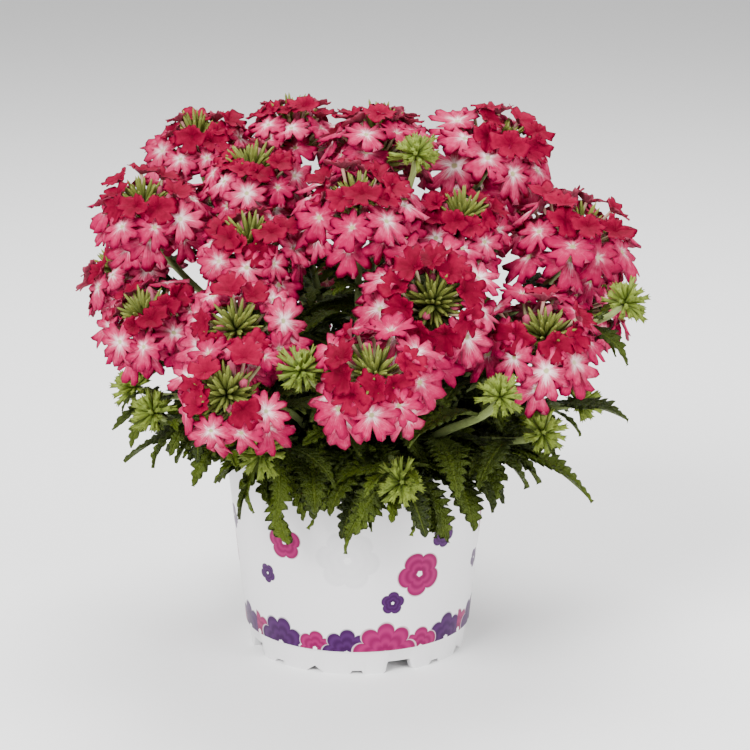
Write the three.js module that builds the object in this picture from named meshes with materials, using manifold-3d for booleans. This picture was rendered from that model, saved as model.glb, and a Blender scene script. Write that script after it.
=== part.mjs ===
import * as THREE from "three";
import { mergeVertices } from "three/addons/utils/BufferGeometryUtils.js";
import Module from "manifold-3d";

// A bedding verbena in flower, grown in a round nursery pot.
// Millimetres, +Z up. The origin is on the pot's axis in the plane of its foot, and the front is -Y.

const wasm = await Module();
wasm.setup();

// ---------- driving dimensions ----------

const CLEARANCE = 0.3;

const POT = {
  height: 102,
  footRadius: 51.5,
  footWidth: 3.5,
  footHeight: 6.5,
  bandRadius: 53,
  bandHeight: 11,
  labelRadius: 54.2,
  labelHeight: 12,
  shoulderRadius: 62.6,
  shoulderHeight: 94,
  lipRadius: 65,
  lipHeight: 95.2,
  lipWall: 1.7,
  wall: 1.3,
  floor: 1.5,
  sides: 24,
};
const DRAINS = { count: 6, radius: 4, ring: 34, sides: 6 };

// The notches in the foot ring, which repeat round it: each is a tapered slot or a wedge.
const NOTCHES = [
  { turn: 22.5, width: 14, depth: 5.6, top: 0.8 },
  { turn: -22.5, width: 9, depth: 3, top: 0 },
  { turn: 0, width: 6.5, depth: 1.8, top: 0.8 },
  { turn: 45, width: 6.5, depth: 1.8, top: 0.8 },
];
const NOTCH_REPEATS = 4;

const SOIL = { top: 88, gap: 0.35, sides: 12, rootDepth: 11, holeRadius: 3.25, underFoot: 0.65 };

const STEM = { radius: 1.9, steps: 5, spread: 0.29, rise: 0.56, lead: 0.34 };
const SHOOT = { footRadius: 43, rise: 0.85 };
const BRANCH = { radius: 1.5, steps: 4, lead: 0.4 };

// A head is a hub on its stem, with rings of flowers whose roots end on a ring about the stem.
const FLORET = { dish: 1.4, body: 1.6, tube: 1.3, valley: 0.46, lobeHalfAngle: 21 };
const CORE = { bore: 2.8, below: -4, radius: 7.2, shoulder: 7.5, shoulderRadius: 6.2, top: 8.5, sides: 5 };
const HUB_DEPTH = 13;
const ROOT_RING = 3.9;
const RINGS = [
  { tilt: 79, count: 5, lift: -1, reach: 12.8, lobePoints: 3 },
  { tilt: 38, count: 3, lift: 2, reach: 11.4, lobePoints: 2 },
];
const RING_RADIUS = 26;
const TUFT = { radius: 3.2, length: 12.5, spread: 62, rise: 12 };
const CLUSTER = { radius: 3.6, length: 11.5, spread: 118 };

// Lengths along a leaf are shares of its own length, but for the root inside the stem.
const LEAF = {
  widthShare: 0.38,
  thickness: 1.3,
  fold: 0.22,
  droop: 78,
  root: 1.2,
  ribStart: 4,
  ribEnd: 0.5,
  teeth: 3,
  firstTooth: 0.3,
  lastTooth: 0.82,
  cut: 0.05,
  cutDepth: 0.5,
};

// The flower heads: the middle of each dome, its radius, and the way that it faces. A tilt is from
// upright, and a turn is from the front, to the right.
const HEADS = [
  { name: "left_back", x: -78, y: 52, z: 234, radius: 26, tilt: 20, turn: -10 },
  { name: "left_top", x: -99, y: -9, z: 213, radius: 27, tilt: 24, turn: -20 },
  { name: "left_middle", x: -49, y: 0, z: 228, radius: 25, tilt: 18, turn: 0 },
  { name: "top_left", x: -32, y: 52, z: 242, radius: 25, tilt: 8, turn: 180 },
  { name: "top_middle", x: 10, y: 4, z: 244, radius: 26, tilt: 10, turn: 170 },
  { name: "front_middle", x: 1, y: -45, z: 220, radius: 29, tilt: 22, turn: 0 },
  { name: "top_right", x: 68, y: 34, z: 235, radius: 30, tilt: 34, turn: 45 },
  { name: "right_middle", x: 48, y: -21, z: 209, radius: 24, tilt: 28, turn: 20 },
  { name: "right_top", x: 104, y: -5, z: 199, radius: 30, tilt: 24, turn: 50 },
  { name: "front_left_high", x: -48, y: -45, z: 203, radius: 25, tilt: 26, turn: 0 },
  { name: "front_left_mid", x: -52, y: -87, z: 173, radius: 26, tilt: 52, turn: -5 },
  { name: "left_low", x: -96, y: -43, z: 168, radius: 26, tilt: 32, turn: -30 },
  { name: "front_left_low", x: -55, y: -113, z: 151, radius: 26, tilt: 60, turn: -10 },
  { name: "front_right_mid", x: 34, y: -76, z: 183, radius: 30, tilt: 60, turn: 5 },
  { name: "front_low", x: 8, y: -119, z: 160, radius: 27, tilt: 56, turn: -8 },
  { name: "right_low", x: 85, y: -58, z: 163, radius: 28, tilt: 42, turn: 15 },
  { name: "back_left_high", x: -60, y: 96, z: 204, radius: 26, tilt: 38, turn: -150 },
  { name: "back_high", x: 12, y: 84, z: 228, radius: 27, tilt: 26, turn: 180 },
  { name: "back_right_high", x: 68, y: 92, z: 200, radius: 27, tilt: 40, turn: 145 },
  { name: "back_left_side", x: -116, y: 46, z: 170, radius: 25, tilt: 46, turn: -105 },
  { name: "back_right_side", x: 115, y: 48, z: 158, radius: 26, tilt: 50, turn: 110 },
  { name: "back_left_low", x: -34, y: 122, z: 156, radius: 26, tilt: 58, turn: -165 },
  { name: "back_right_low", x: 32, y: 121, z: 166, radius: 26, tilt: 52, turn: 165 },
];

// The leafy shoots that end in green buds: the middle of the buds and the way that they face, and
// the rise of a shoot that leans out more than the rest.
const SHOOTS = [
  { name: "front", x: 20, y: -94, z: 106, tilt: 86, turn: 5 },
  { name: "front_left", x: -42, y: -86, z: 117, tilt: 66, turn: -14 },
  { name: "left", x: -92, y: -50, z: 126, tilt: 45, turn: -60 },
  { name: "front_right", x: 63, y: -94, z: 145, tilt: 40, turn: 20, rise: 0.5 },
  { name: "right", x: 84, y: -62, z: 120, tilt: 50, turn: 45, rise: 0.62 },
  { name: "right_high", x: 122, y: -40, z: 175, tilt: 40, turn: 60 },
  { name: "right_side", x: 106, y: 8, z: 116, tilt: 60, turn: 90 },
  { name: "left_side", x: -106, y: 6, z: 124, tilt: 55, turn: -95 },
  { name: "back_left", x: -74, y: 82, z: 122, tilt: 55, turn: -140 },
  { name: "back_right", x: 72, y: 84, z: 118, tilt: 55, turn: 140 },
  { name: "back", x: 2, y: 98, z: 118, tilt: 58, turn: 180 },
];

// Side branches with green buds, each on the stem of a flower head.
const BRANCHES = [
  { on: "top_middle", station: 3, x: 27, y: -30, z: 241, tilt: 12, turn: 20 },
  { on: "front_low", station: 2, x: -23, y: -108, z: 160, tilt: 45, turn: -30 },
];

// Leaf pairs along a stem: the station that they stand at, the length of a leaf and its turn. The
// pairs that others hide have fewer teeth.
const HEAD_PAIRS = [{ station: 3, length: 38, turn: 80, pitch: 28, teeth: 2 }];
const SHOOT_PAIRS = [
  { station: 2, length: 50, turn: 40, pitch: 16, teeth: 2 },
  { station: 4, length: 40, turn: 92, pitch: 14 },
];

// Single long leaves that stand out from the sides or hang in front.
const LONG_LEAVES = [
  { on: "left", station: 3, length: 52, turn: -80, pitch: -6, droop: 34 },
  { on: "left_side", station: 4, length: 34, turn: -68, pitch: -4, droop: 40 },
  { on: "right", station: 3, length: 58, turn: 78, pitch: -8, droop: 40 },
  { on: "right_side", station: 4, length: 50, turn: 52, pitch: 22, droop: 40 },
  { on: "front", station: 4, length: 46, turn: -78, pitch: -34, droop: 50 },
];

// How far repeats are scattered about their places in a ring or a pair.
const SCATTER = { ringTurn: 40, floretTurn: 5, floretTilt: 4, leafLength: 0.1, leafTurn: 12, leafPitch: 8 };

// What is tried in turn where a flower or a leaf would touch another plant part.
const FLORET_PULLS = [0, 2, 4, 6, 9];
const LEAF_TRY_SWINGS = [0, 18, -18, 36, -36, 60, -60, 90];
const LEAF_TRY_PITCHES = [0, -22, 22];

const PALETTE = {
  pot: { color: 0xe9e8ea, roughness: 0.45 },
  soil: { color: 0x3a2c22, roughness: 1 },
  petal: { color: 0xd8314f, roughness: 0.6 },
  leaf: { color: 0x3c5a2a, roughness: 0.65 },
};

// ---------- small helpers ----------

const UP = new THREE.Vector3(0, 0, 1);
const radians = THREE.MathUtils.degToRad;
const at = (p) => new THREE.Vector3(p.x, p.y, p.z);

function facing(tilt, turn) {
  const lean = Math.sin(radians(tilt));
  return new THREE.Vector3(
    lean * Math.sin(radians(turn)),
    -lean * Math.cos(radians(turn)),
    Math.cos(radians(tilt)),
  );
}

// A repeatable draw from -1 to 1 for draw number j of item i.
function draw(i, j) {
  const s = Math.sin(i * 12.9898 + j * 78.233) * 43758.5453;
  return 2 * (s - Math.floor(s)) - 1;
}

// A closed geometry as a solid, with its shared vertices merged and its collapsed triangles dropped.
function solid(geometry) {
  const bare = new THREE.BufferGeometry();
  bare.setAttribute("position", geometry.getAttribute("position"));
  bare.setIndex(geometry.index);
  const merged = mergeVertices(bare, 1e-4);
  const index = merged.index.array;
  const triangles = [];
  for (let i = 0; i < index.length; i += 3) {
    const [a, b, c] = index.subarray(i, i + 3);
    if (a !== b && b !== c && c !== a) triangles.push(a, b, c);
  }
  const mesh = new wasm.Mesh({
    numProp: 3,
    vertProperties: merged.attributes.position.array,
    triVerts: new Uint32Array(triangles),
  });
  return new wasm.Manifold(mesh);
}

// A turned solid: the profile runs from the axis at the bottom round the outside to the axis again.
function turned(profile, sides) {
  const points = profile.map(([r, z]) => new THREE.Vector2(r, z));
  return new THREE.LatheGeometry(points, sides).rotateX(Math.PI / 2);
}

// Stands a geometry made along +Z at a place, facing along an axis and spun about it.
function stood(geometry, place, axis, spin = 0) {
  const turn = new THREE.Quaternion().setFromUnitVectors(UP, axis);
  return geometry
    .rotateZ(spin)
    .applyQuaternion(turn)
    .translate(place.x, place.y, place.z);
}

// A square tube along a curve.
function tube(curve, radius, steps) {
  const corners = [0, 1, 2, 3].map((k) => {
    const angle = ((k + 0.5) * Math.PI) / 2;
    return new THREE.Vector2(radius * Math.cos(angle), radius * Math.sin(angle));
  });
  const section = new THREE.Shape(corners);
  return new THREE.ExtrudeGeometry(section, { steps, bevelEnabled: false, extrudePath: curve });
}

// ---------- the nodes, and the room between them ----------

const nodes = new Map();

function node(name, look) {
  nodes.set(name, { look, parts: [] });
  return name;
}

function add(name, piece) {
  nodes.get(name).parts.push({ piece, box: piece.boundingBox() });
}

function boxesMeet(a, b) {
  return [0, 1, 2].every(
    (k) => a.min[k] < b.max[k] + CLEARANCE && b.min[k] < a.max[k] + CLEARANCE,
  );
}

// Whether a piece of a node keeps its distance from every other node.
function clears(name, piece) {
  const box = piece.boundingBox();
  const touches = (part) =>
    boxesMeet(box, part.box) && piece.minGap(part.piece, CLEARANCE) < CLEARANCE;
  return [...nodes].every(([other, { parts }]) => other === name || !parts.some(touches));
}

// ---------- pot and soil ----------

function innerRadius(z) {
  const share = z / POT.shoulderHeight;
  return THREE.MathUtils.lerp(POT.footRadius, POT.shoulderRadius, share) - POT.wall;
}

function potSolid() {
  const floorTop = POT.footHeight + POT.floor;
  const footInner = POT.footRadius - POT.footWidth;
  const wall = turned(
    [
      [0, POT.footHeight],
      [footInner, POT.footHeight],
      [footInner, 0],
      [POT.footRadius, 0],
      [POT.bandRadius, POT.bandHeight],
      [POT.labelRadius, POT.labelHeight],
      [POT.shoulderRadius, POT.shoulderHeight],
      [POT.lipRadius, POT.lipHeight],
      [POT.lipRadius, POT.height],
      [POT.lipRadius - POT.lipWall, POT.height],
      [innerRadius(POT.shoulderHeight), POT.shoulderHeight],
      [innerRadius(floorTop), floorTop],
      [0, floorTop],
    ],
    POT.sides,
  );
  let body = solid(wall);
  for (let k = 0; k < DRAINS.count; k++) {
    const angle = (2 * Math.PI * k) / DRAINS.count;
    const drill = new THREE.CylinderGeometry(DRAINS.radius, DRAINS.radius, 4 * POT.floor, DRAINS.sides);
    drill.rotateX(Math.PI / 2);
    drill.translate(DRAINS.ring * Math.cos(angle), DRAINS.ring * Math.sin(angle), floorTop);
    body = body.subtract(solid(drill));
  }
  for (let k = 0; k < NOTCH_REPEATS; k++) {
    for (const notch of NOTCHES) body = body.subtract(notchCutter(notch, (360 * k) / NOTCH_REPEATS));
  }
  return body;
}

// A bar through the foot ring, whose top is a share of its width, or a point.
function notchCutter({ turn, width, depth, top }, repeat) {
  const half = width / 2;
  const upper = top === 0 ? [[0, depth]] : [[half * top, depth], [-half * top, depth]];
  const outline = [[-half, -1], [half, -1], ...upper].map(([x, y]) => new THREE.Vector2(x, y));
  const reach = 3 * POT.footWidth;
  const bar = new THREE.ExtrudeGeometry(new THREE.Shape(outline), { depth: reach, bevelEnabled: false });
  bar.rotateX(Math.PI / 2).translate(0, 2 * POT.footWidth - POT.footRadius, 0);
  return solid(bar.rotateZ(radians(turn + repeat)));
}

// The soil fills the pot, with a plain hole for each stem.
function soilSolid(paths) {
  const bottom = POT.footHeight + POT.floor + CLEARANCE;
  const profile = [
    [0, bottom],
    [innerRadius(bottom) - SOIL.gap, bottom],
    [innerRadius(SOIL.top) - SOIL.gap, SOIL.top],
    [0, SOIL.top],
  ];
  let body = solid(turned(profile, SOIL.sides));
  for (const path of paths) {
    const [foot, next] = path.getSpacedPoints(STEM.steps);
    const along = next.clone().sub(foot).normalize();
    const length = 2 * SOIL.rootDepth;
    const hole = new THREE.CylinderGeometry(SOIL.holeRadius, SOIL.holeRadius, length, 4);
    hole.rotateX(Math.PI / 2).translate(0, 0, length / 2 - SOIL.underFoot);
    body = body.subtract(solid(stood(hole, foot, along)));
  }
  return body;
}

// ---------- stems ----------

// From its foot in the soil a stem goes straight up, and it comes to its tip along the tip's axis.
function stemPath(footRadius, rise, tip, axis) {
  const foot = new THREE.Vector3(tip.x, tip.y, 0).setLength(footRadius);
  foot.z = SOIL.top - SOIL.rootDepth;
  const span = tip.distanceTo(foot);
  return new THREE.CubicBezierCurve3(
    foot,
    foot.clone().addScaledVector(UP, span * rise),
    tip.clone().addScaledVector(axis, -span * STEM.lead),
    tip,
  );
}

// ---------- flower heads ----------

// A flat flower of five lobes, dished above, on a slim three-sided tube that runs down to its root.
function floret(reach, lobePoints, root) {
  const count = 5 * lobePoints;
  const vertices = [];
  for (let k = 0; k < count; k++) {
    const lobe = 72 * Math.floor(k / lobePoints);
    const step = k % lobePoints;
    const side = lobePoints === 2 ? 0 : 2 * step - 3;
    const angle = radians(step === 0 ? lobe - 36 : lobe + side * FLORET.lobeHalfAngle);
    const length = step === 0 ? reach * FLORET.valley : reach;
    vertices.push(length * Math.cos(angle), length * Math.sin(angle), 0);
  }
  const [middle, neck, tip] = [count, count + 1, count + 4];
  vertices.push(0, 0, -FLORET.dish);
  for (let j = 0; j < 3; j++) {
    const angle = radians(120 * j);
    vertices.push(FLORET.tube * Math.cos(angle), FLORET.tube * Math.sin(angle), -FLORET.dish - FLORET.body);
  }
  vertices.push(0, 0, -root);
  const triangles = [];
  const third = (k) => neck + Math.floor((3 * k) / count);
  for (let k = 0; k < count; k++) {
    const next = (k + 1) % count;
    triangles.push(middle, k, next, third(k), next, k);
    if (third(k) !== third(next)) {
      triangles.push(next, third(k), third(next), third(next), third(k), tip);
    }
  }
  const geometry = new THREE.BufferGeometry();
  geometry.setAttribute("position", new THREE.Float32BufferAttribute(vertices, 3));
  return geometry.setIndex(triangles);
}

// The ring that carries a head's flowers, bored for the stem.
function coreGeometry() {
  const profile = [
    [CORE.bore, CORE.below],
    [CORE.radius, 0],
    [CORE.shoulderRadius, CORE.shoulder],
    [CORE.bore, CORE.top],
    [CORE.bore, CORE.below],
  ];
  return turned(profile, CORE.sides);
}

// A dome of flowers in two rings on a small core, with the stem's bore through it. A flower that
// would touch a neighbouring head is made shorter, in steps.
function addHead(name, spec, item, path) {
  const axis = facing(spec.tilt, spec.turn);
  const tilted = new THREE.Quaternion().setFromUnitVectors(UP, axis);
  const stations = path.getSpacedPoints(STEM.steps);
  const [before, tip] = stations.slice(-2);
  const along = tip.clone().sub(before).normalize();
  const hub = tip.clone().addScaledVector(along, -TUFT.rise);
  const turnOffset = SCATTER.ringTurn * draw(item, 7);
  add(name, solid(stood(coreGeometry(), hub, along, radians(turnOffset))));
  RINGS.forEach((ring, r) => {
    for (let k = 0; k < ring.count; k++) {
      const number = 20 * r + k;
      const place = (360 * (k + 0.5 * r)) / ring.count;
      const turn = place + turnOffset + SCATTER.floretTurn * draw(item, number);
      const tilt = ring.tilt + SCATTER.floretTilt * draw(item, 50 + number);
      const look = facing(tilt, turn).applyQuaternion(tilted);
      const spin = Math.PI * draw(item, 90 + number);
      for (const pull of FLORET_PULLS) {
        const distance = spec.radius + ring.lift - pull;
        const reach = (ring.reach * spec.radius) / RING_RADIUS - pull / 2;
        const root = distance - ROOT_RING / Math.sin(radians(tilt));
        const flower = floret(reach, ring.lobePoints, root);
        const piece = solid(stood(flower, hub.clone().addScaledVector(look, distance), look, spin));
        if (!clears(name, piece)) continue;
        add(name, piece);
        break;
      }
    }
  });
}

// ---------- buds ----------

// A small round body with a slim three-sided bud on each face that looks forward, along +Z.
function buds({ radius, length, spread }) {
  const body = new THREE.IcosahedronGeometry(radius);
  const spots = body.getAttribute("position");
  const corners = [];
  for (let i = 0; i < spots.count; i += 3) {
    const [a, b, c] = [0, 1, 2].map((k) => new THREE.Vector3().fromBufferAttribute(spots, i + k));
    const tip = new THREE.Vector3().add(a).add(b).add(c).setLength(length);
    if (tip.z > length * Math.cos(radians(spread))) corners.push(a, b, tip, b, c, tip, c, a, tip);
    else corners.push(a, b, c);
  }
  const geometry = new THREE.BufferGeometry().setFromPoints(corners);
  return geometry.setIndex(corners.map((_, i) => i));
}

// ---------- leaves ----------

// A toothed blade along +X that droops on an arc. Its edge is sharp, and its rib is raised on both
// faces, which are split alike.
function bladeGeometry(length, droop, teeth) {
  const bend = radians(droop) / length;
  const spot = (s, side, lift) => {
    const angle = bend * s;
    return [
      Math.sin(angle) / bend + lift * Math.sin(angle),
      side,
      (Math.cos(angle) - 1) / bend + LEAF.fold * Math.abs(side) + lift * Math.cos(angle),
    ];
  };
  const rib = [LEAF.ribStart, length * LEAF.ribEnd];
  const edge = [];
  for (let k = 0; k < teeth; k++) {
    const share = THREE.MathUtils.lerp(LEAF.firstTooth, LEAF.lastTooth, k / (teeth - 1));
    const half = ((length * LEAF.widthShare) / 2) * Math.sin(Math.PI * share ** 0.8) ** 0.7;
    edge.push([length * share, half]);
    edge.push([length * (share + LEAF.cut), half * LEAF.cutDepth]);
  }
  const vertices = [];
  const put = (s, side, lift) => vertices.push(spot(s, side, lift)) - 1;
  const base = put(-LEAF.root, 0, 0);
  const apex = put(length, 0, 0);
  const edges = [1, -1].map((side) => edge.map(([s, half]) => put(s, side * half, 0)));
  const ribs = [1, -1].map((face) => rib.map((s) => put(s, 0, (face * LEAF.thickness) / 2)));
  const triangles = [];
  [1, -1].forEach((face, f) => {
    [1, -1].forEach((side, e) => {
      const inner = [base, ...ribs[f], apex];
      const outer = [base, ...edges[e], apex];
      const innerAt = [0, ...rib, length];
      const outerAt = [0, ...edge.map(([s]) => s), length];
      let i = 0;
      let j = 0;
      while (i < inner.length - 1 || j < outer.length - 1) {
        const innerDone = i === inner.length - 1;
        const outerDone = j === outer.length - 1;
        const stepOuter = innerDone || (!outerDone && outerAt[j + 1] <= innerAt[i + 1]);
        const next = stepOuter ? outer[j + 1] : inner[i + 1];
        const corners = [inner[i], outer[j], next];
        if (new Set(corners).size === 3) {
          triangles.push(...(face * side > 0 ? [corners[0], corners[2], corners[1]] : corners));
        }
        if (stepOuter) j += 1;
        else i += 1;
      }
    });
  });
  const geometry = new THREE.BufferGeometry();
  geometry.setAttribute("position", new THREE.Float32BufferAttribute(vertices.flat(), 3));
  geometry.setIndex(triangles);
  return geometry;
}

// A leaf at a place on a stem, on one side of it. A leaf that would touch another plant part is
// turned aside, in steps.
function addLeaf(name, place, side, { length, turn, pitch, droop, teeth = LEAF.teeth }) {
  for (const rise of LEAF_TRY_PITCHES) {
    for (const swing of LEAF_TRY_SWINGS) {
      const leaf = bladeGeometry(length, droop, teeth).rotateY(-radians(pitch + rise));
      leaf.rotateZ(radians(turn + side * swing - 90)).translate(place.x, place.y, place.z);
      const piece = solid(leaf);
      if (!clears(name, piece)) continue;
      add(name, piece);
      return;
    }
  }
}

// Leaves in pairs along a stem.
function addLeafPairs(name, item, path, pairs, outward) {
  const stations = path.getSpacedPoints(STEM.steps);
  pairs.forEach((pair, p) => {
    for (const side of [1, -1]) {
      const number = 10 * p + side;
      addLeaf(name, stations[pair.station], side, {
        length: pair.length * (1 + SCATTER.leafLength * draw(item, number)),
        turn: outward + side * (pair.turn + SCATTER.leafTurn * draw(item, 100 + number)),
        pitch: pair.pitch + SCATTER.leafPitch * draw(item, 200 + number),
        droop: LEAF.droop,
        teeth: pair.teeth,
      });
    }
  });
}

// ---------- the whole plant ----------

node("pot", PALETTE.pot);
node("soil", PALETTE.soil);

const plants = [
  ...HEADS.map((spec) => ({ spec, stem: `stem_${spec.name}`, flowers: `flowers_${spec.name}` })),
  ...SHOOTS.map((spec) => ({ spec, stem: `shoot_${spec.name}` })),
];
plants.forEach((plant, item) => {
  const { spec } = plant;
  const axis = facing(spec.tilt, spec.turn);
  const tipShift = plant.flowers ? TUFT.rise - HUB_DEPTH : 0;
  const tip = at(spec).addScaledVector(axis, tipShift);
  const reach = Math.hypot(spec.x, spec.y);
  const path = plant.flowers
    ? stemPath(reach * STEM.spread, STEM.rise, tip, axis)
    : stemPath(SHOOT.footRadius, spec.rise ?? SHOOT.rise, tip, axis);
  Object.assign(plant, { item, axis, tip, path });
  node(plant.stem, PALETTE.leaf);
  if (plant.flowers) node(plant.flowers, PALETTE.petal);
});

add("pot", potSolid());
add("soil", soilSolid(plants.map(({ path }) => path)));
for (const { stem, flowers, axis, tip, path, item } of plants) {
  add(stem, solid(tube(path, STEM.radius, STEM.steps)));
  add(stem, solid(stood(buds(flowers ? TUFT : CLUSTER), tip, axis, item)));
}
BRANCHES.forEach((branch) => {
  const plant = plants.find(({ spec }) => spec.name === branch.on);
  const axis = facing(branch.tilt, branch.turn);
  const tip = at(branch);
  const stations = plant.path.getSpacedPoints(STEM.steps);
  const start = stations[branch.station];
  const along = stations[branch.station + 1].clone().sub(start).normalize();
  const span = tip.distanceTo(start);
  const curve = new THREE.CubicBezierCurve3(
    start,
    start.clone().addScaledVector(along, span * BRANCH.lead),
    tip.clone().addScaledVector(axis, -span * BRANCH.lead),
    tip,
  );
  add(plant.stem, solid(tube(curve, BRANCH.radius, BRANCH.steps)));
  add(plant.stem, solid(stood(buds(CLUSTER), tip, axis)));
});
for (const { spec, item, flowers, path } of plants) {
  if (flowers) addHead(flowers, spec, item, path);
}
for (const long of LONG_LEAVES) {
  const { stem, path } = plants.find(({ stem }) => stem === `shoot_${long.on}`);
  addLeaf(stem, path.getSpacedPoints(STEM.steps)[long.station], 1, long);
}
for (const { spec, item, stem, flowers, path } of plants) {
  const outward = THREE.MathUtils.radToDeg(Math.atan2(spec.x, -spec.y));
  addLeafPairs(stem, item, path, flowers ? HEAD_PAIRS : SHOOT_PAIRS, outward);
}

const verbena = new THREE.Group();
verbena.name = "verbena";
for (const [name, { look, parts }] of nodes) {
  const body = wasm.Manifold.union(parts.map(({ piece }) => piece));
  const { vertProperties, triVerts } = body.getMesh();
  const geometry = new THREE.BufferGeometry();
  geometry.setAttribute("position", new THREE.BufferAttribute(vertProperties, 3));
  geometry.setIndex(new THREE.BufferAttribute(triVerts, 1));
  geometry.computeVertexNormals();
  const mesh = new THREE.Mesh(geometry, new THREE.MeshStandardMaterial(look));
  mesh.name = name;
  verbena.add(mesh);
}

export default verbena;
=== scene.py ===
import math
from functools import partial

import bmesh
import bpy
from bpy.props import (
    FloatProperty,
    FloatVectorProperty,
    IntProperty,
    PointerProperty,
)
from mathutils import Matrix, Vector, noise
from mathutils.geometry import interpolate_bezier
from mathutils.kdtree import KDTree


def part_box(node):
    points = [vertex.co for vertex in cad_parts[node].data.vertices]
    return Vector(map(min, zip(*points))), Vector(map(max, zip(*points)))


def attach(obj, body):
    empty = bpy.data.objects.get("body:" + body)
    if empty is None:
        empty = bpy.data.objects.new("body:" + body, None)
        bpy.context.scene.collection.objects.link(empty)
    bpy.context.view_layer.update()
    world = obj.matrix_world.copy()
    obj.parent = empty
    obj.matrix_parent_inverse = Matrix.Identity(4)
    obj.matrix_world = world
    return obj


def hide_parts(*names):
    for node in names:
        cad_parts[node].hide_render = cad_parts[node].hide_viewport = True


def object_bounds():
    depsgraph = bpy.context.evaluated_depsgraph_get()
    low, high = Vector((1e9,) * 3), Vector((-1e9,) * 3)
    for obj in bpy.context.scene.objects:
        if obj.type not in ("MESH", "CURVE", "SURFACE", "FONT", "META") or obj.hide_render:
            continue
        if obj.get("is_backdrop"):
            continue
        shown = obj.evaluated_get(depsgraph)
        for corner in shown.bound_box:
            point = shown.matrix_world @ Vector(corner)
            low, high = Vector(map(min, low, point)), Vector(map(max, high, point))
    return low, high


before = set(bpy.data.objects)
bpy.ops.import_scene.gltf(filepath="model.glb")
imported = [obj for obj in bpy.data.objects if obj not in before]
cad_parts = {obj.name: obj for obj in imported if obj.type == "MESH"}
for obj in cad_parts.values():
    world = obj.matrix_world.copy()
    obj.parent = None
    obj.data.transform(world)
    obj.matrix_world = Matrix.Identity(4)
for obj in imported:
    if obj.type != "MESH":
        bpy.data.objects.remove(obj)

bl_info = {
    "name": "Potted Verbena",
    "version": (1, 0, 0),
    "blender": (4, 5, 0),
    "location": "View3D > Sidebar > Verbena",
    "description": "Dresses a bedding verbena in its nursery pot",
    "category": "Add Mesh",
}

CAD_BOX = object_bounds()
UP = Vector((0, 0, 1))
MM = 0.001

# ---------------------------------------- the plant's plan, in millimetres and degrees

# Each flower head: the middle of its dome, the dome's radius, and the way that it faces. A tilt is
# from upright, and a turn is from the front, to the right.
HEADS = [
    ("left_back", -78, 52, 234, 26, 20, -10),
    ("left_top", -99, -9, 213, 27, 24, -20),
    ("left_middle", -49, 0, 228, 25, 18, 0),
    ("top_left", -32, 52, 242, 25, 8, 180),
    ("top_middle", 10, 4, 244, 26, 10, 170),
    ("front_middle", 1, -45, 220, 29, 22, 0),
    ("top_right", 68, 34, 235, 30, 34, 45),
    ("right_middle", 48, -21, 209, 24, 28, 20),
    ("right_top", 104, -5, 199, 30, 24, 50),
    ("front_left_high", -48, -45, 203, 25, 26, 0),
    ("front_left_mid", -52, -87, 173, 26, 52, -5),
    ("left_low", -96, -43, 168, 26, 32, -30),
    ("front_left_low", -55, -113, 151, 26, 60, -10),
    ("front_right_mid", 34, -76, 183, 30, 60, 5),
    ("front_low", 8, -119, 160, 27, 56, -8),
    ("right_low", 85, -58, 163, 28, 42, 15),
    ("back_left_high", -60, 96, 204, 26, 38, -150),
    ("back_high", 12, 84, 228, 27, 26, 180),
    ("back_right_high", 68, 92, 200, 27, 40, 145),
    ("back_left_side", -116, 46, 170, 25, 46, -105),
    ("back_right_side", 115, 48, 158, 26, 50, 110),
    ("back_left_low", -34, 122, 156, 26, 58, -165),
    ("back_right_low", 32, 121, 166, 26, 52, 165),
]
# Each leafy shoot: the middle of the buds at its end, and the way that they face.
SHOOTS = [
    ("front", 20, -94, 106, 86, 5),
    ("front_left", -42, -86, 117, 66, -14),
    ("left", -92, -50, 126, 45, -60),
    ("front_right", 63, -94, 145, 40, 20),
    ("right", 84, -62, 120, 50, 45),
    ("right_high", 122, -40, 175, 40, 60),
    ("right_side", 106, 8, 116, 60, 90),
    ("left_side", -106, 6, 124, 55, -95),
    ("back_left", -74, 82, 122, 55, -140),
    ("back_right", 72, 84, 118, 55, 140),
    ("back", 2, 98, 118, 58, 180),
]
# Side branches that end in buds: their stem, the station that they leave it at, and their end.
BRANCHES = [
    ("top_middle", 3, 27, -30, 241, 12, 20),
    ("front_low", 2, -23, -108, 160, 45, -30),
]
# The equal steps between a stem's foot and its tip, at which leaves and branches leave it.
STATIONS = 5
SOIL_TOP = 88.0
ROOT_DEPTH = 11.0
# How far out a stem stands in the soil: as a share of its head's distance, or for every shoot.
HEAD_FOOT_SHARE = 0.29
SHOOT_FOOT_RADIUS = 43.0
# How long a stem keeps upright from its foot, as a share of its span.
HEAD_RISE = 0.56
SHOOT_RISE = 0.85
SHOOT_RISES = {"front_right": 0.5, "right": 0.62}
# How long a stem or branch keeps to the way that its tip faces, as a share of its span.
STEM_LEAD = 0.34
BRANCH_LEAD = 0.4
# How much thicker than the rest a stem is.
STOUT_STEMS = {"front_right": 1.3, "right": 1.2}
# Where a head's flowers spring from below its tuft, and how far from the stem's middle.
HUB_BELOW_TIP = 12.0
TIP_SHIFT = -1.0
ROOT_RING = 3.9
# The radius of the dome that the rings below are measured on.
DOME_RADIUS = 26.0
# How far from a green cluster's middle the flowers of other stems stay.
CLUSTER_ROOM = 17.0
# How deep inside another head's dome a flower counts as crowded, and how far it is then drawn in.
CROWD_DEPTH = 4.0
CROWD_STEP = 6.0
# How much nearer to the tuft a ring's flowers are that are not the solid model's, and how much
# further out the young ones among them stand.
EXTRA_TILT = {0: 12.0, 1: 3.0}
EXTRA_RISE = 0.9
# How much a flower's turn, tilt and distance differ by draw, in degrees and millimetres.
HEAD_SPIN = 40
TURN_DRAW = 5
SOLID_TILT_DRAW = 4
EXTRA_TILT_DRAW = 8
EXTRA_RISE_DRAW = 2.8

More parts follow.
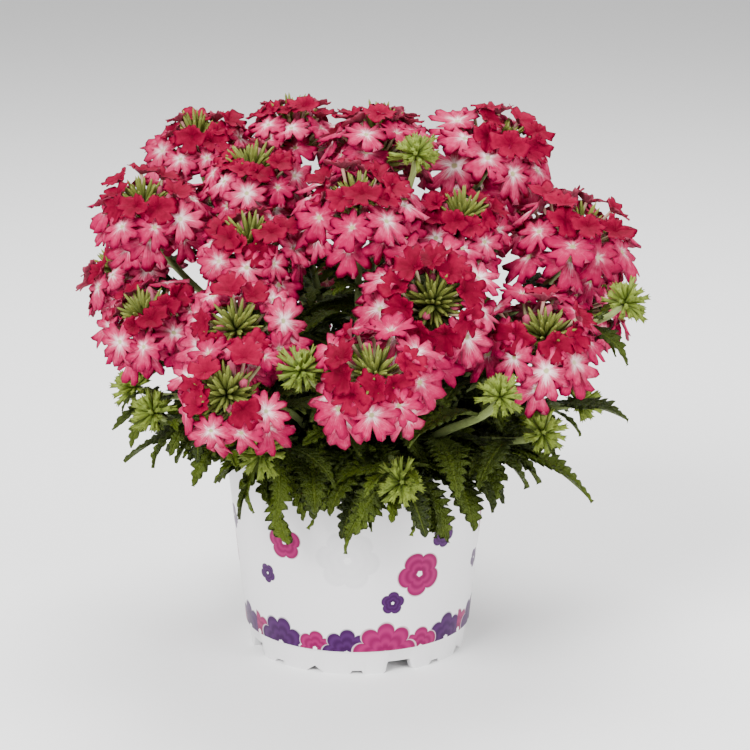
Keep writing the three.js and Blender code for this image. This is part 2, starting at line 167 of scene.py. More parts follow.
# The ring of young flowers round the tuft.
YOUNG_RING = 1
# Each ring of a dome: the tilt of its flowers, how many there are in all, how many of them are
# the solid model's, how far the ring stands out, the reach of a petal, how far the flowers have
# opened, from 0 to 1, and how much they turn to the head's axis. Ring numbers follow the solid
# model's.
RINGS = [
    {"number": 0, "tilt": 79, "count": 10, "solid": 5,
     "lift": -4.6, "reach": 11.2, "age": 1.0, "gaze": 0.5},
    {"number": YOUNG_RING, "tilt": 33, "count": 9, "solid": 3,
     "lift": -1.2, "reach": 7.6, "age": 0.04, "gaze": 0.3},
    {"number": 2, "tilt": 53, "count": 9, "solid": 0,
     "lift": -1.2, "reach": 10.4, "age": 0.82, "gaze": 0.4},
]
# The share of a head's flowers that have dropped, how much of that holds for young ones, and the
# heads where it isn't the usual one.
USUAL_LOSS = 0.12
YOUNG_LOSS_SHARE = 0.75
LOSSES = {
    "front_left_low": 0.72, "front_low": 0.64, "left_low": 0.36, "right_low": 0.42,
    "front_left_mid": 0.30, "front_right_mid": 0.10, "back_left_low": 0.40,
    "back_right_low": 0.36,
}

# The pot, whose wall is a little thicker at its lip.
POT = {
    "height": 102.0, "foot_radius": 51.5, "foot_width": 3.5, "foot_height": 6.5,
    "band_radius": 53.0, "band_height": 11.0, "label_radius": 54.2, "label_height": 12.0,
    "shoulder_radius": 62.6, "shoulder_height": 94.0, "lip_radius": 65.0, "lip_height": 95.2,
    "lip_wall": 1.7, "wall": 1.3, "floor": 1.5,
}
# How far the wall's edges are rounded, and from which angle, in millimetres and degrees.
EDGE_ROUNDING = 0.35
EDGE_ANGLE = 35
# How far out from the wall's inside a face lies on the wrap.
WRAP_DEPTH = 0.6
DRAINS = {"count": 6, "radius": 4.0, "ring": 34.0, "drill": 8.0, "sides": 32}
# The notches in the foot ring, a quarter of the way round: turn, width, depth and top's share.
NOTCHES = [
    (22.5, 14.0, 5.6, 0.8), (-22.5, 9.0, 3.0, 0.0), (0.0, 6.5, 1.8, 0.8), (45.0, 6.5, 1.8, 0.8),
]
NOTCH_REPEAT = 90.0

# The soil's crumbs, and the rings of its rough top.
SOIL = {"rings": 22, "steps": 96, "foot": 0.86, "crumbs": 220, "crumb": 1.1, "reach": 0.93}

# The camera, as a distance, height angle, the point that it looks at, lens and sensor.
CAMERA_DISTANCE = 1150.0
CAMERA_ELEVATION = 14.0
CAMERA_TARGET = (8.45, 0.0, 131.3)
CAMERA_LENS = 116.3
CAMERA_SENSOR = 36.0
# The lamps, in metres: name, place, width and share of the main lamp's power.
LAMPS = [
    ("key", (-0.9, -1.5, 1.5), 1.1, 1.0),
    ("fill", (1.4, -1.2, 0.7), 1.2, 0.35),
    ("top", (0.1, 0.5, 1.7), 1.2, 0.5),
]
FLOOR_RADIUS = 12.0

# The waves that the repeatable draws are taken from.
DRAW_WAVE = (12.9898, 78.233, 43758.5453)
CURVE_POINTS = 201


def facing(tilt, turn):
    """The direction that a tilt and a turn give, in degrees."""
    lean, turn = math.radians(tilt), math.radians(turn)
    across = math.sin(lean)
    return Vector((across * math.sin(turn), -across * math.cos(turn), math.cos(lean)))


def draw(i, j):
    """A repeatable draw from -1 to 1 for draw number j of item i."""
    s = math.sin(i * DRAW_WAVE[0] + j * DRAW_WAVE[1]) * DRAW_WAVE[2]
    return 2 * (s - math.floor(s)) - 1


def stations(curve, count):
    """Points at equal steps along a cubic curve."""
    fine = interpolate_bezier(*curve, CURVE_POINTS)
    reach = [0.0]
    for start, end in zip(fine, fine[1:]):
        reach.append(reach[-1] + (end - start).length)
    points, i = [], 0
    for k in range(count + 1):
        goal = reach[-1] * k / count
        while i < len(fine) - 2 and reach[i + 1] < goal:
            i += 1
        points.append(fine[i].lerp(fine[i + 1], (goal - reach[i]) / (reach[i + 1] - reach[i])))
    return points


class Plant:
    """One stem of the plant, with what it ends in."""

    def __init__(self, item, name, place, radius, tilt, turn):
        self.item, self.name, self.radius = item, name, radius
        self.flowering = radius is not None
        self.node = ("stem_" if self.flowering else "shoot_") + name
        self.axis = facing(tilt, turn)
        self.tip = place + self.axis * (TIP_SHIFT if self.flowering else 0.0)
        head_foot_radius = place.xy.length * HEAD_FOOT_SHARE
        radius_at_foot = head_foot_radius if self.flowering else SHOOT_FOOT_RADIUS
        foot = self.tip.xy.normalized() * radius_at_foot
        foot = Vector((foot.x, foot.y, SOIL_TOP - ROOT_DEPTH))
        span = (self.tip - foot).length
        rise = HEAD_RISE if self.flowering else SHOOT_RISES.get(name, SHOOT_RISE)
        lead = self.axis * span * STEM_LEAD
        self.curve = (foot, foot + UP * span * rise, self.tip - lead, self.tip)
        self.stations = stations(self.curve, STATIONS)
        self.along = (self.stations[-1] - self.stations[-2]).normalized()
        self.hub = self.tip - self.along * HUB_BELOW_TIP
        self.outward = math.degrees(math.atan2(place.x, -place.y))


PLANTS = [
    Plant(item, name, Vector((x, y, z)), radius, tilt, turn)
    for item, (name, x, y, z, radius, tilt, turn) in enumerate(HEADS)
] + [
    Plant(len(HEADS) + item, name, Vector((x, y, z)), None, tilt, turn)
    for item, (name, x, y, z, tilt, turn) in enumerate(SHOOTS)
]


# ---------------------------------------- shader trees


class Value:
    """An output of a shader tree, on which Python's arithmetic adds Math nodes."""

    def __init__(self, shader, socket):
        self.shader = shader
        self.socket = socket

    def math(self, operation, *others):
        values = dict(enumerate((self, *others)))
        return self.shader.node("ShaderNodeMath", values, operation=operation)

    def __add__(self, other):
        return self.math("ADD", other)

    __radd__ = __add__

    def __mul__(self, other):
        return self.math("MULTIPLY", other)

    __rmul__ = __mul__

    def __sub__(self, other):
        return self.math("SUBTRACT", other)

    def __rsub__(self, other):
        return self.shader.node("ShaderNodeMath", {0: other, 1: self}, operation="SUBTRACT")

    def __truediv__(self, other):
        return self.math("DIVIDE", other)

    def __pow__(self, other):
        return self.math("POWER", other)

    def __abs__(self):
        return self.math("ABSOLUTE")

    def sin(self):
        return self.math("SINE")

    def cos(self):
        return self.math("COSINE")

    def fraction(self):
        return self.math("FRACT")

    def ramp(self, low, high):
        """The value's share of the way from low to high, smoothly, from 0 to 1."""
        sockets = {"Value": self, 1: low, 2: high}
        return self.shader.node("ShaderNodeMapRange", sockets, interpolation_type="SMOOTHSTEP")


class Shader:
    """A material with a Principled shader, built with expressions."""

    def __init__(self, name, **constants):
        self.material = bpy.data.materials.new(name)
        self.material.use_nodes = True
        self.tree = self.material.node_tree
        self.surface = self.tree.nodes["Principled BSDF"]
        for socket, value in constants.items():
            self.surface.inputs[socket.replace("_", " ")].default_value = value

    def node(self, kind, sockets=None, output=0, **settings):
        """Any node: its settings first, then the values or links of its sockets."""
        made = self.tree.nodes.new(kind)
        for setting, value in settings.items():
            setattr(made, setting, value)
        for socket, value in (sockets or {}).items():
            self.put(made.inputs[socket], value)
        return Value(self, made.outputs[output])

    def put(self, socket, value):
        if isinstance(value, Value):
            self.tree.links.new(value.socket, socket)
        else:
            socket.default_value = value

    def blend(self, factor, a, b):
        """Colour a turned to colour b by a factor."""
        sockets = {0: factor, 6: rgba(a), 7: rgba(b)}
        return self.node("ShaderNodeMix", sockets, output=2, data_type="RGBA")

    def mark(self, name):
        """A number that the mesh carries at its points."""
        return self.node("ShaderNodeAttribute", output="Fac", attribute_name=name)

    def place(self):
        return self.node("ShaderNodeTexCoord", output="Object")

    def part(self, vector, axis):
        return self.node("ShaderNodeSeparateXYZ", {0: vector}, output=axis)

    def noise(self, scale, detail=2.0, vector=None, roughness=0.5):
        sockets = {"Vector": vector or self.place(), "Scale": scale, "Detail": detail}
        return self.node("ShaderNodeTexNoise", {**sockets, "Roughness": roughness})

    def colour(self, value):
        self.put(self.surface.inputs["Base Color"], value)

    def roughness(self, value):
        self.put(self.surface.inputs["Roughness"], value)

    def bump(self, height, strength, distance):
        sockets = {"Height": height, "Strength": strength, "Distance": distance}
        self.put(self.surface.inputs["Normal"], self.node("ShaderNodeBump", sockets))


def rgba(colour):
    """A colour with its alpha, or the output that gives it."""
    return colour if isinstance(colour, Value) else (*tuple(colour)[:3], 1.0)


# The colours of the peat and its fibres, and of the down on the green parts.
PEAT_DARK = (0.012, 0.008, 0.006)
PEAT_LIGHT = (0.055, 0.035, 0.022)
PEAT_FIBRE = (0.14, 0.09, 0.05)
DOWN = (0.42, 0.46, 0.25)
# The veins' pairs along a leaf, and the cells of the net between them, to the metre.
VEIN_PAIRS = 8.0
VEIN_NET = 560.0


def petal_finish(flowers, back):
    """Velvet petals that fade with age from crimson to pink, with a white eye, or their backs."""
    shader = Shader("petal back" if back else "petal", Specular_IOR_Level=0.05)
    age, reach, tint = shader.mark("age"), shader.mark("reach"), shader.mark("tint")
    turn = shader.part(shader.node("ShaderNodeUVMap", uv_map="surface"), 0)
    across = abs((turn * float(PETALS) + 0.5).fraction() * 2.0 - 1.0)
    spread = shader.node("ShaderNodeCombineXYZ", {0: turn * 190.0, 1: reach * 3.0, 2: tint * 9.0})
    streaks = shader.noise(1.0, vector=spread)
    cloud = shader.noise(420.0)
    # Painted shade and light: a young petal is darker towards the flower's middle and lighter, as
    # if lit, towards its rim. The cloud and tint add random tone.
    light = (cloud - 0.5) * 0.9 + tint * 0.2 + reach * 0.6
    red = shader.blend(light, flowers.crimson, flowers.crimson_light)
    blush = (1.0 - reach) * 0.75 + (streaks - 0.5) * 0.9 + (cloud - 0.5) * 0.9 + tint * 0.18
    pink = shader.blend(blush.ramp(0.0, 0.85), flowers.coral, flowers.pink)
    colour = shader.blend(age.ramp(0.15, 0.75), red, pink)
    opened = age.ramp(0.25, 0.7)
    eye_size = 0.31 - across * 0.14 + (streaks - 0.5) * 0.70 + tint * 0.10
    eye = (eye_size - reach).ramp(-0.12, 0.24) * opened
    colour = shader.blend(eye * 0.88, colour, flowers.eye)
    throat = (0.16 - reach).ramp(0.0, 0.07) * opened
    colour = shader.blend(throat * 0.8, colour, flowers.throat)
    if back:
        colour = shader.blend(0.42 + (streaks - 0.5) * 0.3, colour, flowers.back)
    shader.colour(colour)
    shader.roughness(0.52 + cloud * 0.2)
    shader.bump(streaks + cloud * 0.3, 0.35, 0.0004)
    return shader.material


def tube_finish(flowers):
    """The pale tube below a flower."""
    shader = Shader("flower tube", Specular_IOR_Level=0.2, Roughness=0.6)
    along, tint = shader.mark("along"), shader.mark("tint")
    shader.colour(shader.blend(along * 0.5 + tint * 0.2, flowers.tube, flowers.back))
    return shader.material


def leaf_finish(leaves, back):
    """A hairy leaf with a sunk net of veins, darkened towards its foot by painted shade and
    lightened at its tip by painted light, or its paler back.
    """
    shader = Shader("leaf back" if back else "leaf", Specular_IOR_Level=0.18)
    along, across, tint = shader.mark("along"), abs(shader.mark("across")), shader.mark("tint")
    ribs = abs((along * VEIN_PAIRS - across * 1.1 + 0.2).fraction() * 2.0 - 1.0)
    rib = (ribs - across * 0.10).ramp(0.80, 0.98)
    midrib = (0.10 - across).ramp(-0.06, 0.05)
    veins = midrib.math("MAXIMUM", rib * 0.6)
    cloud = shader.noise(90.0, 3.0)
    grain = shader.noise(1500.0, 2.0)
    net = {"Vector": shader.place(), "Scale": VEIN_NET}
    swell = shader.node("ShaderNodeTexVoronoi", net, feature="DISTANCE_TO_EDGE").ramp(0.0, 0.3)
    # Painted light and shade: the along term darkens a leaf towards its foot, where the leaves
    # above would shade it, and lightens its tip. The cloud adds random tone, and the tint carries
    # random tone and the painted shade of shaded fill leaves.
    green = shader.blend(cloud * 0.7 + tint * 0.42 + along * 0.62 - 0.34, leaves.dark, leaves.light)
    pale = (veins * 0.5 + (1.0 - swell) * 0.12) * (along * 0.7 + 0.3)
    green = shader.blend(pale, green, leaves.vein)
    if back:
        green = shader.blend(0.45, green, leaves.back)
    shader.colour(green)
    shader.roughness(0.42 + grain * 0.25)
    shader.bump(swell * 0.6 + grain * 0.3 - veins, 0.9, 0.0008)
    return shader.material


def green_finish(name, low, high, speckle):
    """A downy green part that changes colour from its base to its tip."""
    shader = Shader(name, Specular_IOR_Level=0.2)
    along, tint = shader.mark("along"), shader.mark("tint")
    cloud = shader.noise(260.0, 3.0)
    down = shader.noise(2600.0, 1.0)
    green = shader.blend(along * 0.8 + (cloud - 0.5) * 0.7 + tint * 0.22, low, high)
    shader.colour(shader.blend(down.ramp(0.55, 0.8) * speckle, green, DOWN))
    shader.roughness(0.5 + cloud * 0.25)
    shader.bump(down * 0.6 + cloud, 0.5, 0.0003)
    return shader.material


def soil_finish():
    """Moist dark peat with paler fibres."""
    shader = Shader("peat")
    crumb, fibre = shader.noise(420.0, 4.0, roughness=0.7), shader.noise(160.0, 3.0)
    colour = shader.blend(crumb.ramp(0.3, 0.75), PEAT_DARK, PEAT_LIGHT)
    shader.colour(shader.blend(fibre.ramp(0.62, 0.72) * 0.5, colour, PEAT_FIBRE))
    shader.roughness(0.75 + crumb * 0.2)
    shader.bump(crumb, 1.0, 0.0012)
    return shader.material


def plastic_finish(name, colour):
    """Moulded plastic with a faint flow pattern."""
    shader = Shader(name, Coat_Weight=0.12, Coat_Roughness=0.25, IOR=1.49)
    flow = shader.noise(60.0, 2.0)
    grain = shader.noise(2400.0, 2.0)
    shader.colour(shader.blend(flow * 0.35, colour, [channel * 0.9 for channel in colour]))
    shader.roughness(0.34 + flow * 0.12)
    shader.bump(grain, 0.12, 0.0001)
    return shader.material


# The print: how often it repeats round the pot, the wall's radius that it is measured on, how deep
# and how round the gaps between a blossom's petals are, its rings, the edge of its eye and of its
# rim, and how much paler than its ink a ring gets, up to a limit.
PRINT_REPEATS = 3.0
PRINT_RADIUS = 57.0
GAP_DEPTH = 0.24
GAP_ROUNDNESS = 0.6
RING_TURNS = 19.0
EYE_EDGE = 0.14
RIM_EDGE = 0.93
PALE_GAIN = 2.0
PALE_LIFT = 0.012
PALE_LIMIT = 0.66


def label_finish(pot):
    """A printed wrap: a pale ground, a border of cut blossoms and a few whole ones."""
    shader = Shader("printed label", Specular_IOR_Level=0.14, IOR=1.49)
    place = shader.place()
    x, y, height = (shader.part(place, axis) for axis in (0, 1, 2))
    height = height / MM
    turn = x.math("ARCTAN2", y * -1.0)
    soft = shader.noise(14.0, 2.0)
    ground = shader.blend(soft * 0.5, pot.white, [channel * 0.93 for channel in pot.white])
    repeat = 2.0 * math.pi / PRINT_REPEATS
    folded = (turn / repeat + 0.5 + PRINT_REPEATS).fraction() - 0.5
    folded = folded * (repeat * PRINT_RADIUS)
    colour = ground
    for across, up, radius, petals, spin, ink, fade in BLOSSOMS + BORDER:
        dx, dz = folded - across, height - up
        distance = (dx * dx + dz * dz) ** 0.5
        angle = dz.math("ARCTAN2", dx)
        lobes = abs((angle * (petals / 2.0) + spin).cos()) ** GAP_ROUNDNESS
        edge = (lobes * GAP_DEPTH + (1.0 - GAP_DEPTH)) * radius
        share = distance / edge
        inside = (1.0 - share).ramp(-0.01, 0.02)
        bands = (share * RING_TURNS).sin() * 0.5 + 0.5
        deep = getattr(pot, ink)
        pale = [min(channel * PALE_GAIN + PALE_LIFT, PALE_LIMIT) for channel in deep]
        flower = shader.blend(bands * 0.55 + share * 0.3 + soft * 0.3 - 0.2, deep, pale)
        flower = shader.blend((EYE_EDGE - share).ramp(0.0, 0.03), flower, pot.white)
        flower = shader.blend((share - RIM_EDGE).ramp(0.0, 0.04) * 0.5, flower, pot.white)
        colour = shader.blend(inside * fade, colour, flower)
    shader.colour(colour)
    shader.roughness(0.30 + soft * 0.1)
    shader.bump(shader.noise(1800.0, 2.0), 0.1, 0.0001)
    return shader.material


# The blossoms of the print, in a third of the way round: place across and up, radius, petals,
# spin, ink and strength.
BLOSSOMS = [
    (-4.0, 58.0, 15.0, 6, 0.4, "grey", 0.55),
    (30.0, 49.0, 11.5, 5, 1.2, "magenta", 1.0),
    (17.0, 36.0, 6.0, 5, 2.6, "purple", 1.0),
    (42.0, 66.0, 6.5, 5, 0.2, "purple", 1.0),
    (-34.0, 64.0, 9.0, 5, 2.2, "magenta", 1.0),
    (-46.0, 46.0, 5.0, 5, 0.9, "purple", 1.0),
]
# The border: a row of blossoms that the wrap's lower edge cuts.
BORDER = [
    (-58.0, 13.0, 11.0, 7, 0.3, "magenta", 1.0),
    (-41.0, 11.5, 14.5, 8, 1.1, "purple", 1.0),
    (-21.0, 12.5, 9.5, 6, 2.0, "magenta", 1.0),
    (50.0, 12.0, 13.5, 7, 0.7, "purple", 1.0),
    (-5.0, 11.0, 13.0, 8, 0.2, "purple", 1.0),
    (33.0, 11.5, 10.5, 6, 1.6, "magenta", 1.0),
    (14.0, 10.0, 17.0, 9, 2.4, "magenta", 1.0),
]


# ---------------------------------------- meshes


# What the points of a mesh carry for its materials.
MARKS = ("age", "reach", "tint", "along", "across")
MERGE_DISTANCE = 0.002 * MM


def shell(rows, columns, shape, finish=lambda u, v: 0):
    """A closed form: a grid whose points are moved to shape(u, v), with its seam and poles joined.

    shape gives a point in millimetres and the marks that the mesh carries there, and finish
    gives the number of a face's material.
    """
    bm = bmesh.new()
    bm.loops.layers.uv.new("surface")
    marks = {name: bm.verts.layers.float.new(name) for name in MARKS}
    bmesh.ops.create_grid(
        bm, x_segments=columns, y_segments=rows, size=0.5,
        matrix=Matrix.Translation((0.5, 0.5, 0)), calc_uvs=True)
    for face in bm.faces:
        middle = face.calc_center_median()
        face.material_index = finish(middle.x, middle.y)
        face.smooth = True
    for vert in bm.verts:
        place, values = shape(min(max(vert.co.x, 0.0), 1.0), min(max(vert.co.y, 0.0), 1.0))
        vert.co = place * MM
        for name, value in values.items():
            vert[marks[name]] = value
    bmesh.ops.remove_doubles(bm, verts=bm.verts, dist=MERGE_DISTANCE)
    bmesh.ops.recalc_face_normals(bm, faces=bm.faces)
    return bm


def new_object(name, bm):
    """The object that a bmesh becomes."""
    mesh = bpy.data.meshes.new(name)
    bm.to_mesh(mesh)
    bm.free()
    made = bpy.data.objects.new(name, mesh)
    bpy.context.collection.objects.link(made)
    return made


class Assembly:
    """Gathers small forms into one mesh, each with its place and its tint."""

    def __init__(self):
        self.bm = bmesh.new()
        self.bm.loops.layers.uv.new("surface")
        for name in MARKS:
            self.bm.verts.layers.float.new(name)
        self.scratch = bpy.data.meshes.new("scratch")

    def add(self, form, place=None, tint=None, keep=False):
        copy = form.copy() if keep else form
        if place:
            copy.transform(place)
        if tint is not None:
            layer = copy.verts.layers.float["tint"]
            for vert in copy.verts:
                vert[layer] = tint
        copy.to_mesh(self.scratch)
        self.bm.from_mesh(self.scratch)
        copy.free()

    def piece(self, name, finishes, slot, node):
        """Ends the gathering: the mesh becomes a piece that stands for a node."""
        piece = new_object(name, self.bm)
        bpy.data.meshes.remove(self.scratch)
        for finish in finishes:
            piece.data.materials.append(finish)
        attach(piece, "root")
        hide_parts(node)


def ring_point(radius, angle, height):
    """A point at a radius, angle and height round the Z axis."""
    return Vector((radius * math.cos(angle), radius * math.sin(angle), height))


def at(point, direction, spin=0.0):
    """The place of a form made along +Z: a point in millimetres, a direction and a spin."""
    turn = UP.rotation_difference(direction).to_matrix().to_4x4() @ Matrix.Rotation(spin, 4, "Z")
    return Matrix.Translation(point * MM) @ turn


def tube(points, radius, sides, ribs=0.0):
    """A closed tube through points. A square stem's corners stand out by its ribs."""
    turns, tangent = [], (points[1] - points[0]).normalized()
    turn = UP.rotation_difference(tangent)
    for k in range(len(points)):
        ahead = points[min(k + 1, len(points) - 1)] - points[max(k - 1, 0)]
        turn = tangent.rotation_difference(ahead) @ turn
        tangent = ahead.normalized()
        turns.append(turn.copy())
    rows = len(points) + 1

    def shape(u, v):
        row = round(v * rows)
        k = min(max(row - 1, 0), len(points) - 1)
        share = k / (len(points) - 1)
        angle = 2 * math.pi * u
        width = radius(share) * (1.0 + ribs * math.cos(4 * angle)) if 0 < row < rows else 0.0
        return points[k] + turns[k] @ ring_point(width, angle, 0), {"along": share}

    return shell(rows, sides, shape)


# ---------------------------------------- flowers

PETALS = 5
PETAL_COLUMNS = 8
# The rows of a flower, from the edge of its tube's mouth out along its underside, over the rim
# and in to the eye.
FLOWER_ROWS = [
    ("neck", 0.0), ("neck", 1.0), ("under", 0.6),
    ("over", 1.0), ("over", 0.75), ("over", 0.5), ("over", 0.25), ("eye", 0.0),
]
# How far a petal's edge reaches, from the middle of its notch to the gap between petals, on an
# old flower and on a young one.
OLD_EDGE = [0.79, 0.95, 1.0, 0.89, 0.46]
YOUNG_EDGE = [0.92, 0.98, 1.0, 0.97, 0.70]
# The sizes of the five petals, from the one that points away from the middle of the head, on an
# old flower and on a young one, and the age that parts the two.
OLD_PETALS = [1.16, 1.05, 0.88, 0.88, 1.05]
YOUNG_PETALS = [1.14, 1.08, 0.66, 0.66, 1.08]
OLD_AGE = 0.4
# The mouth of the tube under a flower: the radius and depth of its edge, and the depth of its eye.
MOUTH_RADIUS = 0.75
MOUTH_DEPTH = 1.7
EYE_DEPTH = 1.0
# Where the petals part, as a share of their reach, and the row and share that the eye ends at.
PARTING_SHARE = 0.324
EYE_ROW = 0.25
EYE_SHARE = 0.20
PETAL_THICKNESS = 0.30
# How much a flower's petals rise like a cup, with what its youth adds, and how much they curl back
# at their ends, with what its age adds, as shares of its reach.
CUP = 0.10
YOUNG_CUP = 0.30
CURL = 0.12
OLD_CURL = 0.14
# How high the two ridges of a petal stand.
RIDGE = 0.05
# How much a flower differs by draw, as shares: its cup and curl, a petal's edge, notch and size,
# and how far a petal leans.
FLOWER_DRAW = {"cup": 0.08, "curl": 0.06, "edge": 0.02, "notch": 0.05, "size": 0.10, "lean": 0.22}
# The waves round a flower's rim: their height as a share of its reach, their number and shift.
RIM_WAVES = [(0.08, 7, 1), (0.03, 16, 2)]


def flower(reach, age, seed):
    """A flower of five notched petals, which faces +Z. An unopened one is cupped."""
    cup = YOUNG_CUP * (1.0 - age) + CUP + FLOWER_DRAW["cup"] * draw(seed, 1)
    curl = CURL + OLD_CURL * age + FLOWER_DRAW["curl"] * draw(seed, 2)
    phase = math.pi * draw(seed, 3)
    sizes, edges = (OLD_PETALS, OLD_EDGE) if age > OLD_AGE else (YOUNG_PETALS, YOUNG_EDGE)
    last = len(FLOWER_ROWS) - 1
    columns = PETALS * PETAL_COLUMNS

    def shape(u, v):
        kind, share = FLOWER_ROWS[round(v * last)]
        angle = 2 * math.pi * u
        if kind == "neck":
            return ring_point(MOUTH_RADIUS * share, angle, -MOUTH_DEPTH), {"age": age}
        if kind == "eye":
            return Vector((0, 0, -EYE_DEPTH)), {"reach": 0.0, "age": age}
        column = round(u * columns) % columns
        petal = round(column / PETAL_COLUMNS) % PETALS
        step = abs(column - PETAL_COLUMNS * round(column / PETAL_COLUMNS))
        across = step / (PETAL_COLUMNS / 2)
        edge = edges[step] * (1 + FLOWER_DRAW["edge"] * draw(seed, 40 + column))
        if step == 0:
            edge *= 1 + FLOWER_DRAW["notch"] * draw(seed, 90 + petal)
        size = 1.0
        if across < 1:
            size = sizes[petal] * (1 + FLOWER_DRAW["size"] * draw(seed, 10 + petal))
        outline = EYE_SHARE
        if share > EYE_ROW:
            outline = PARTING_SHARE + (edge - PARTING_SHARE) * (share - EYE_ROW) / (1 - EYE_ROW)
        lean = FLOWER_DRAW["lean"] * draw(seed, 20 + petal) * (1 - across)
        height = (cup + lean) * share - curl * share * share
        height -= RIDGE * share * math.cos(2 * math.pi * across)
        waves = (size * math.sin(turns * angle + shift * phase) for size, turns, shift in RIM_WAVES)
        height += share**3 * sum(waves)
        height *= reach
        if kind == "under":
            height -= PETAL_THICKNESS
        return ring_point(reach * size * outline, angle, height), {"reach": share, "age": age}

    under = 3 / last
    return shell(last, columns, shape, lambda u, v: 1 if v < under else 0)


def calyx(columns, outline):
    """A slim sleeve with five ribs that end in teeth, a millimetre across and 1 long."""
    last = len(outline) - 1

    def shape(u, v):
        row = round(v * last)
        radius, height, ribs = outline[row]
        angle = 2 * math.pi * u
        rib = math.cos(PETALS * angle) if columns > PETALS else 0.0
        radius *= 1 + ribs * rib
        bend = 0.08 * math.sin(math.pi * height)
        height += 0.09 * ribs * rib * (row == last - 1)
        place = Vector((radius * math.cos(angle) + bend, radius * math.sin(angle), height))
        return place, {"along": height}

    return shell(last, columns, shape)


# The outline of a calyx from its foot: radius, height and how far its ribs stand out.
OPEN_CALYX = [
    (0.0, 0.0, 0.0), (0.5, 0.0, 0.1), (0.78, 0.4, 0.16), (0.88, 0.72, 0.18), (1.0, 0.94, 0.5),
    (0.0, 0.78, 0.0),
]
CLOSED_CALYX = [
    (0.0, 0.0, 0.0), (0.5, 0.0, 0.1), (0.86, 0.4, 0.2), (0.95, 0.64, 0.2), (0.5, 0.9, 0.2),
    (0.0, 1.0, 0.0),
]
HIDDEN_CALYX = [(0.0, 0.0, 0.0), (0.5, 0.0, 0.0), (1.0, 0.6, 0.0), (0.0, 1.0, 0.0)]
CALYX_COLUMNS = 10
# The outline of a closed bud from its foot, as radius and height, and where its tube ends.
BUD = [(0.0, 0.0), (0.3, 0.0), (0.34, 0.45), (0.7, 0.58), (1.0, 0.76), (0.8, 0.92), (0.0, 1.0)]
BUD_COLUMNS = 10
BUD_TUBE = 0.45


def closed_bud():
    """A bud of folded petals on its pale tube: 1 across and 1 long."""
    last = len(BUD) - 1

    def shape(u, v):
        radius, height = BUD[round(v * last)]
        angle = 2 * math.pi * u
        fold = 1.0 + 0.16 * math.cos(PETALS * angle + 3 * height) * (height > 0.5)
        marks = {"reach": max(height - BUD_TUBE, 0.0), "age": 0.1 + 0.5 * height}
        return ring_point(radius * fold, angle, height), marks

    return shell(last, BUD_COLUMNS, shape, lambda u, v: 0 if v < BUD_TUBE else 1)


def jitter(seed):
    """A small random vector."""
    return Vector([draw(seed, 30 + axis) for axis in range(3)])


def upright(point, direction, down):
    """The place of a form made along +Z: a point in millimetres, a direction, and +X's way."""
    turn = UP.rotation_difference(direction)
    local = turn.inverted() @ down
    spin = Matrix.Rotation(math.atan2(local.y, local.x), 4, "Z")
    return Matrix.Translation(point * MM) @ turn.to_matrix().to_4x4() @ spin


def stretched(width, length):
    """The stretch of a form that is made 1 across and 1 long."""
    return Matrix.Diagonal((width, width, length, 1.0))


def head_spots(plant):
    """Where a head's flowers stand: ring, number, direction and distance from its hub.

    The last value says whether the flower has dropped and left its calyx. The solid model's stay.
    """
    tilted = UP.rotation_difference(plant.axis)
    offset = HEAD_SPIN * draw(plant.item, 7)
    loss = LOSSES.get(plant.name, USUAL_LOSS)
    for ring in RINGS:
        young = ring["number"] == YOUNG_RING
        step = ring["count"] // ring["solid"] if ring["solid"] else 1
        for k in range(ring["count"]):
            extra = k % step != 0
            number = 20 * ring["number"] + (10 + k if extra else k // step)
            start = 0.5 * ring["number"] / (ring["solid"] or ring["count"])
            place = 360 * (k / ring["count"] + start)
            turn = place + offset + TURN_DRAW * draw(plant.item, number)
            swing = EXTRA_TILT_DRAW if extra else SOLID_TILT_DRAW
            tilt = ring["tilt"] + swing * draw(plant.item, 50 + number)
            distance = plant.radius + ring["lift"]
            if extra:
                tilt -= EXTRA_TILT.get(ring["number"], 0.0)
                rise = EXTRA_RISE if young else 0
                distance += EXTRA_RISE_DRAW * draw(plant.item, 130 + number) + rise
            look = tilted @ facing(tilt, turn)
            odds = loss * (YOUNG_LOSS_SHARE if young else 1.0)
            dropped = extra and 0.5 + 0.5 * draw(plant.item, 170 + number) < odds
            yield ring, number, tilt, look, distance, dropped


def near_buds(point):
    """Whether a point is so close to a green cluster that a flower there would hide or cross it."""
    tips = [plant.tip for plant in PLANTS if not plant.flowering]
    tips += [Vector((x, y, z)) for *start, x, y, z, tilt, turn in BRANCHES]
    return any((point - tip).length < CLUSTER_ROOM for tip in tips)


def crowded(plant, point):
    """Whether a point is inside another head's dome."""
    others = (other for other in PLANTS if other.flowering and other is not plant)
    return any((point - other.hub).length < other.radius - CROWD_DEPTH for other in others)


# ---------------------------------------- leaves

# The width of a leaf as a share of its length, and the steps round it, for the solid model's
# leaves and for those between them.
LEAF_WIDTH_SHARE = 0.35
FILL_WIDTH_SHARE = 0.34
LEAF_COLUMNS = 12
FILL_COLUMNS = 8
LEAF_DROOP = 78.0
LEAF_FOLD = 0.22
# How far a leaf's foot is sunk in its stem, its stalk as a share of its length, its thickness, and
# where on its half width the teeth begin.
LEAF_ROOT = 1.2
LEAF_STALK = 0.10
LEAF_THICKNESS = 0.22
TOOTH_ROOT = 0.2
TOOTH_PITCH = 4.0
# How far forward the teeth lean, how high the blade swells between its veins and how wide its
# stalk is, all as shares of its length, and how deep the midrib stands out below.
TOOTH_LEAN = 0.06
LEAF_SWELL = 0.026
STALK_WIDTH = 0.035
MIDRIB = 0.25
# The wave along its edges: its height as a share of its length, and how much that differs by draw.
LEAF_WAVE = 0.035
LEAF_WAVE_DRAW = 0.5
# How wide a tooth is at its three rows, from the notch below it to its tip.
TOOTH = [0.0, 0.72, 1.0]
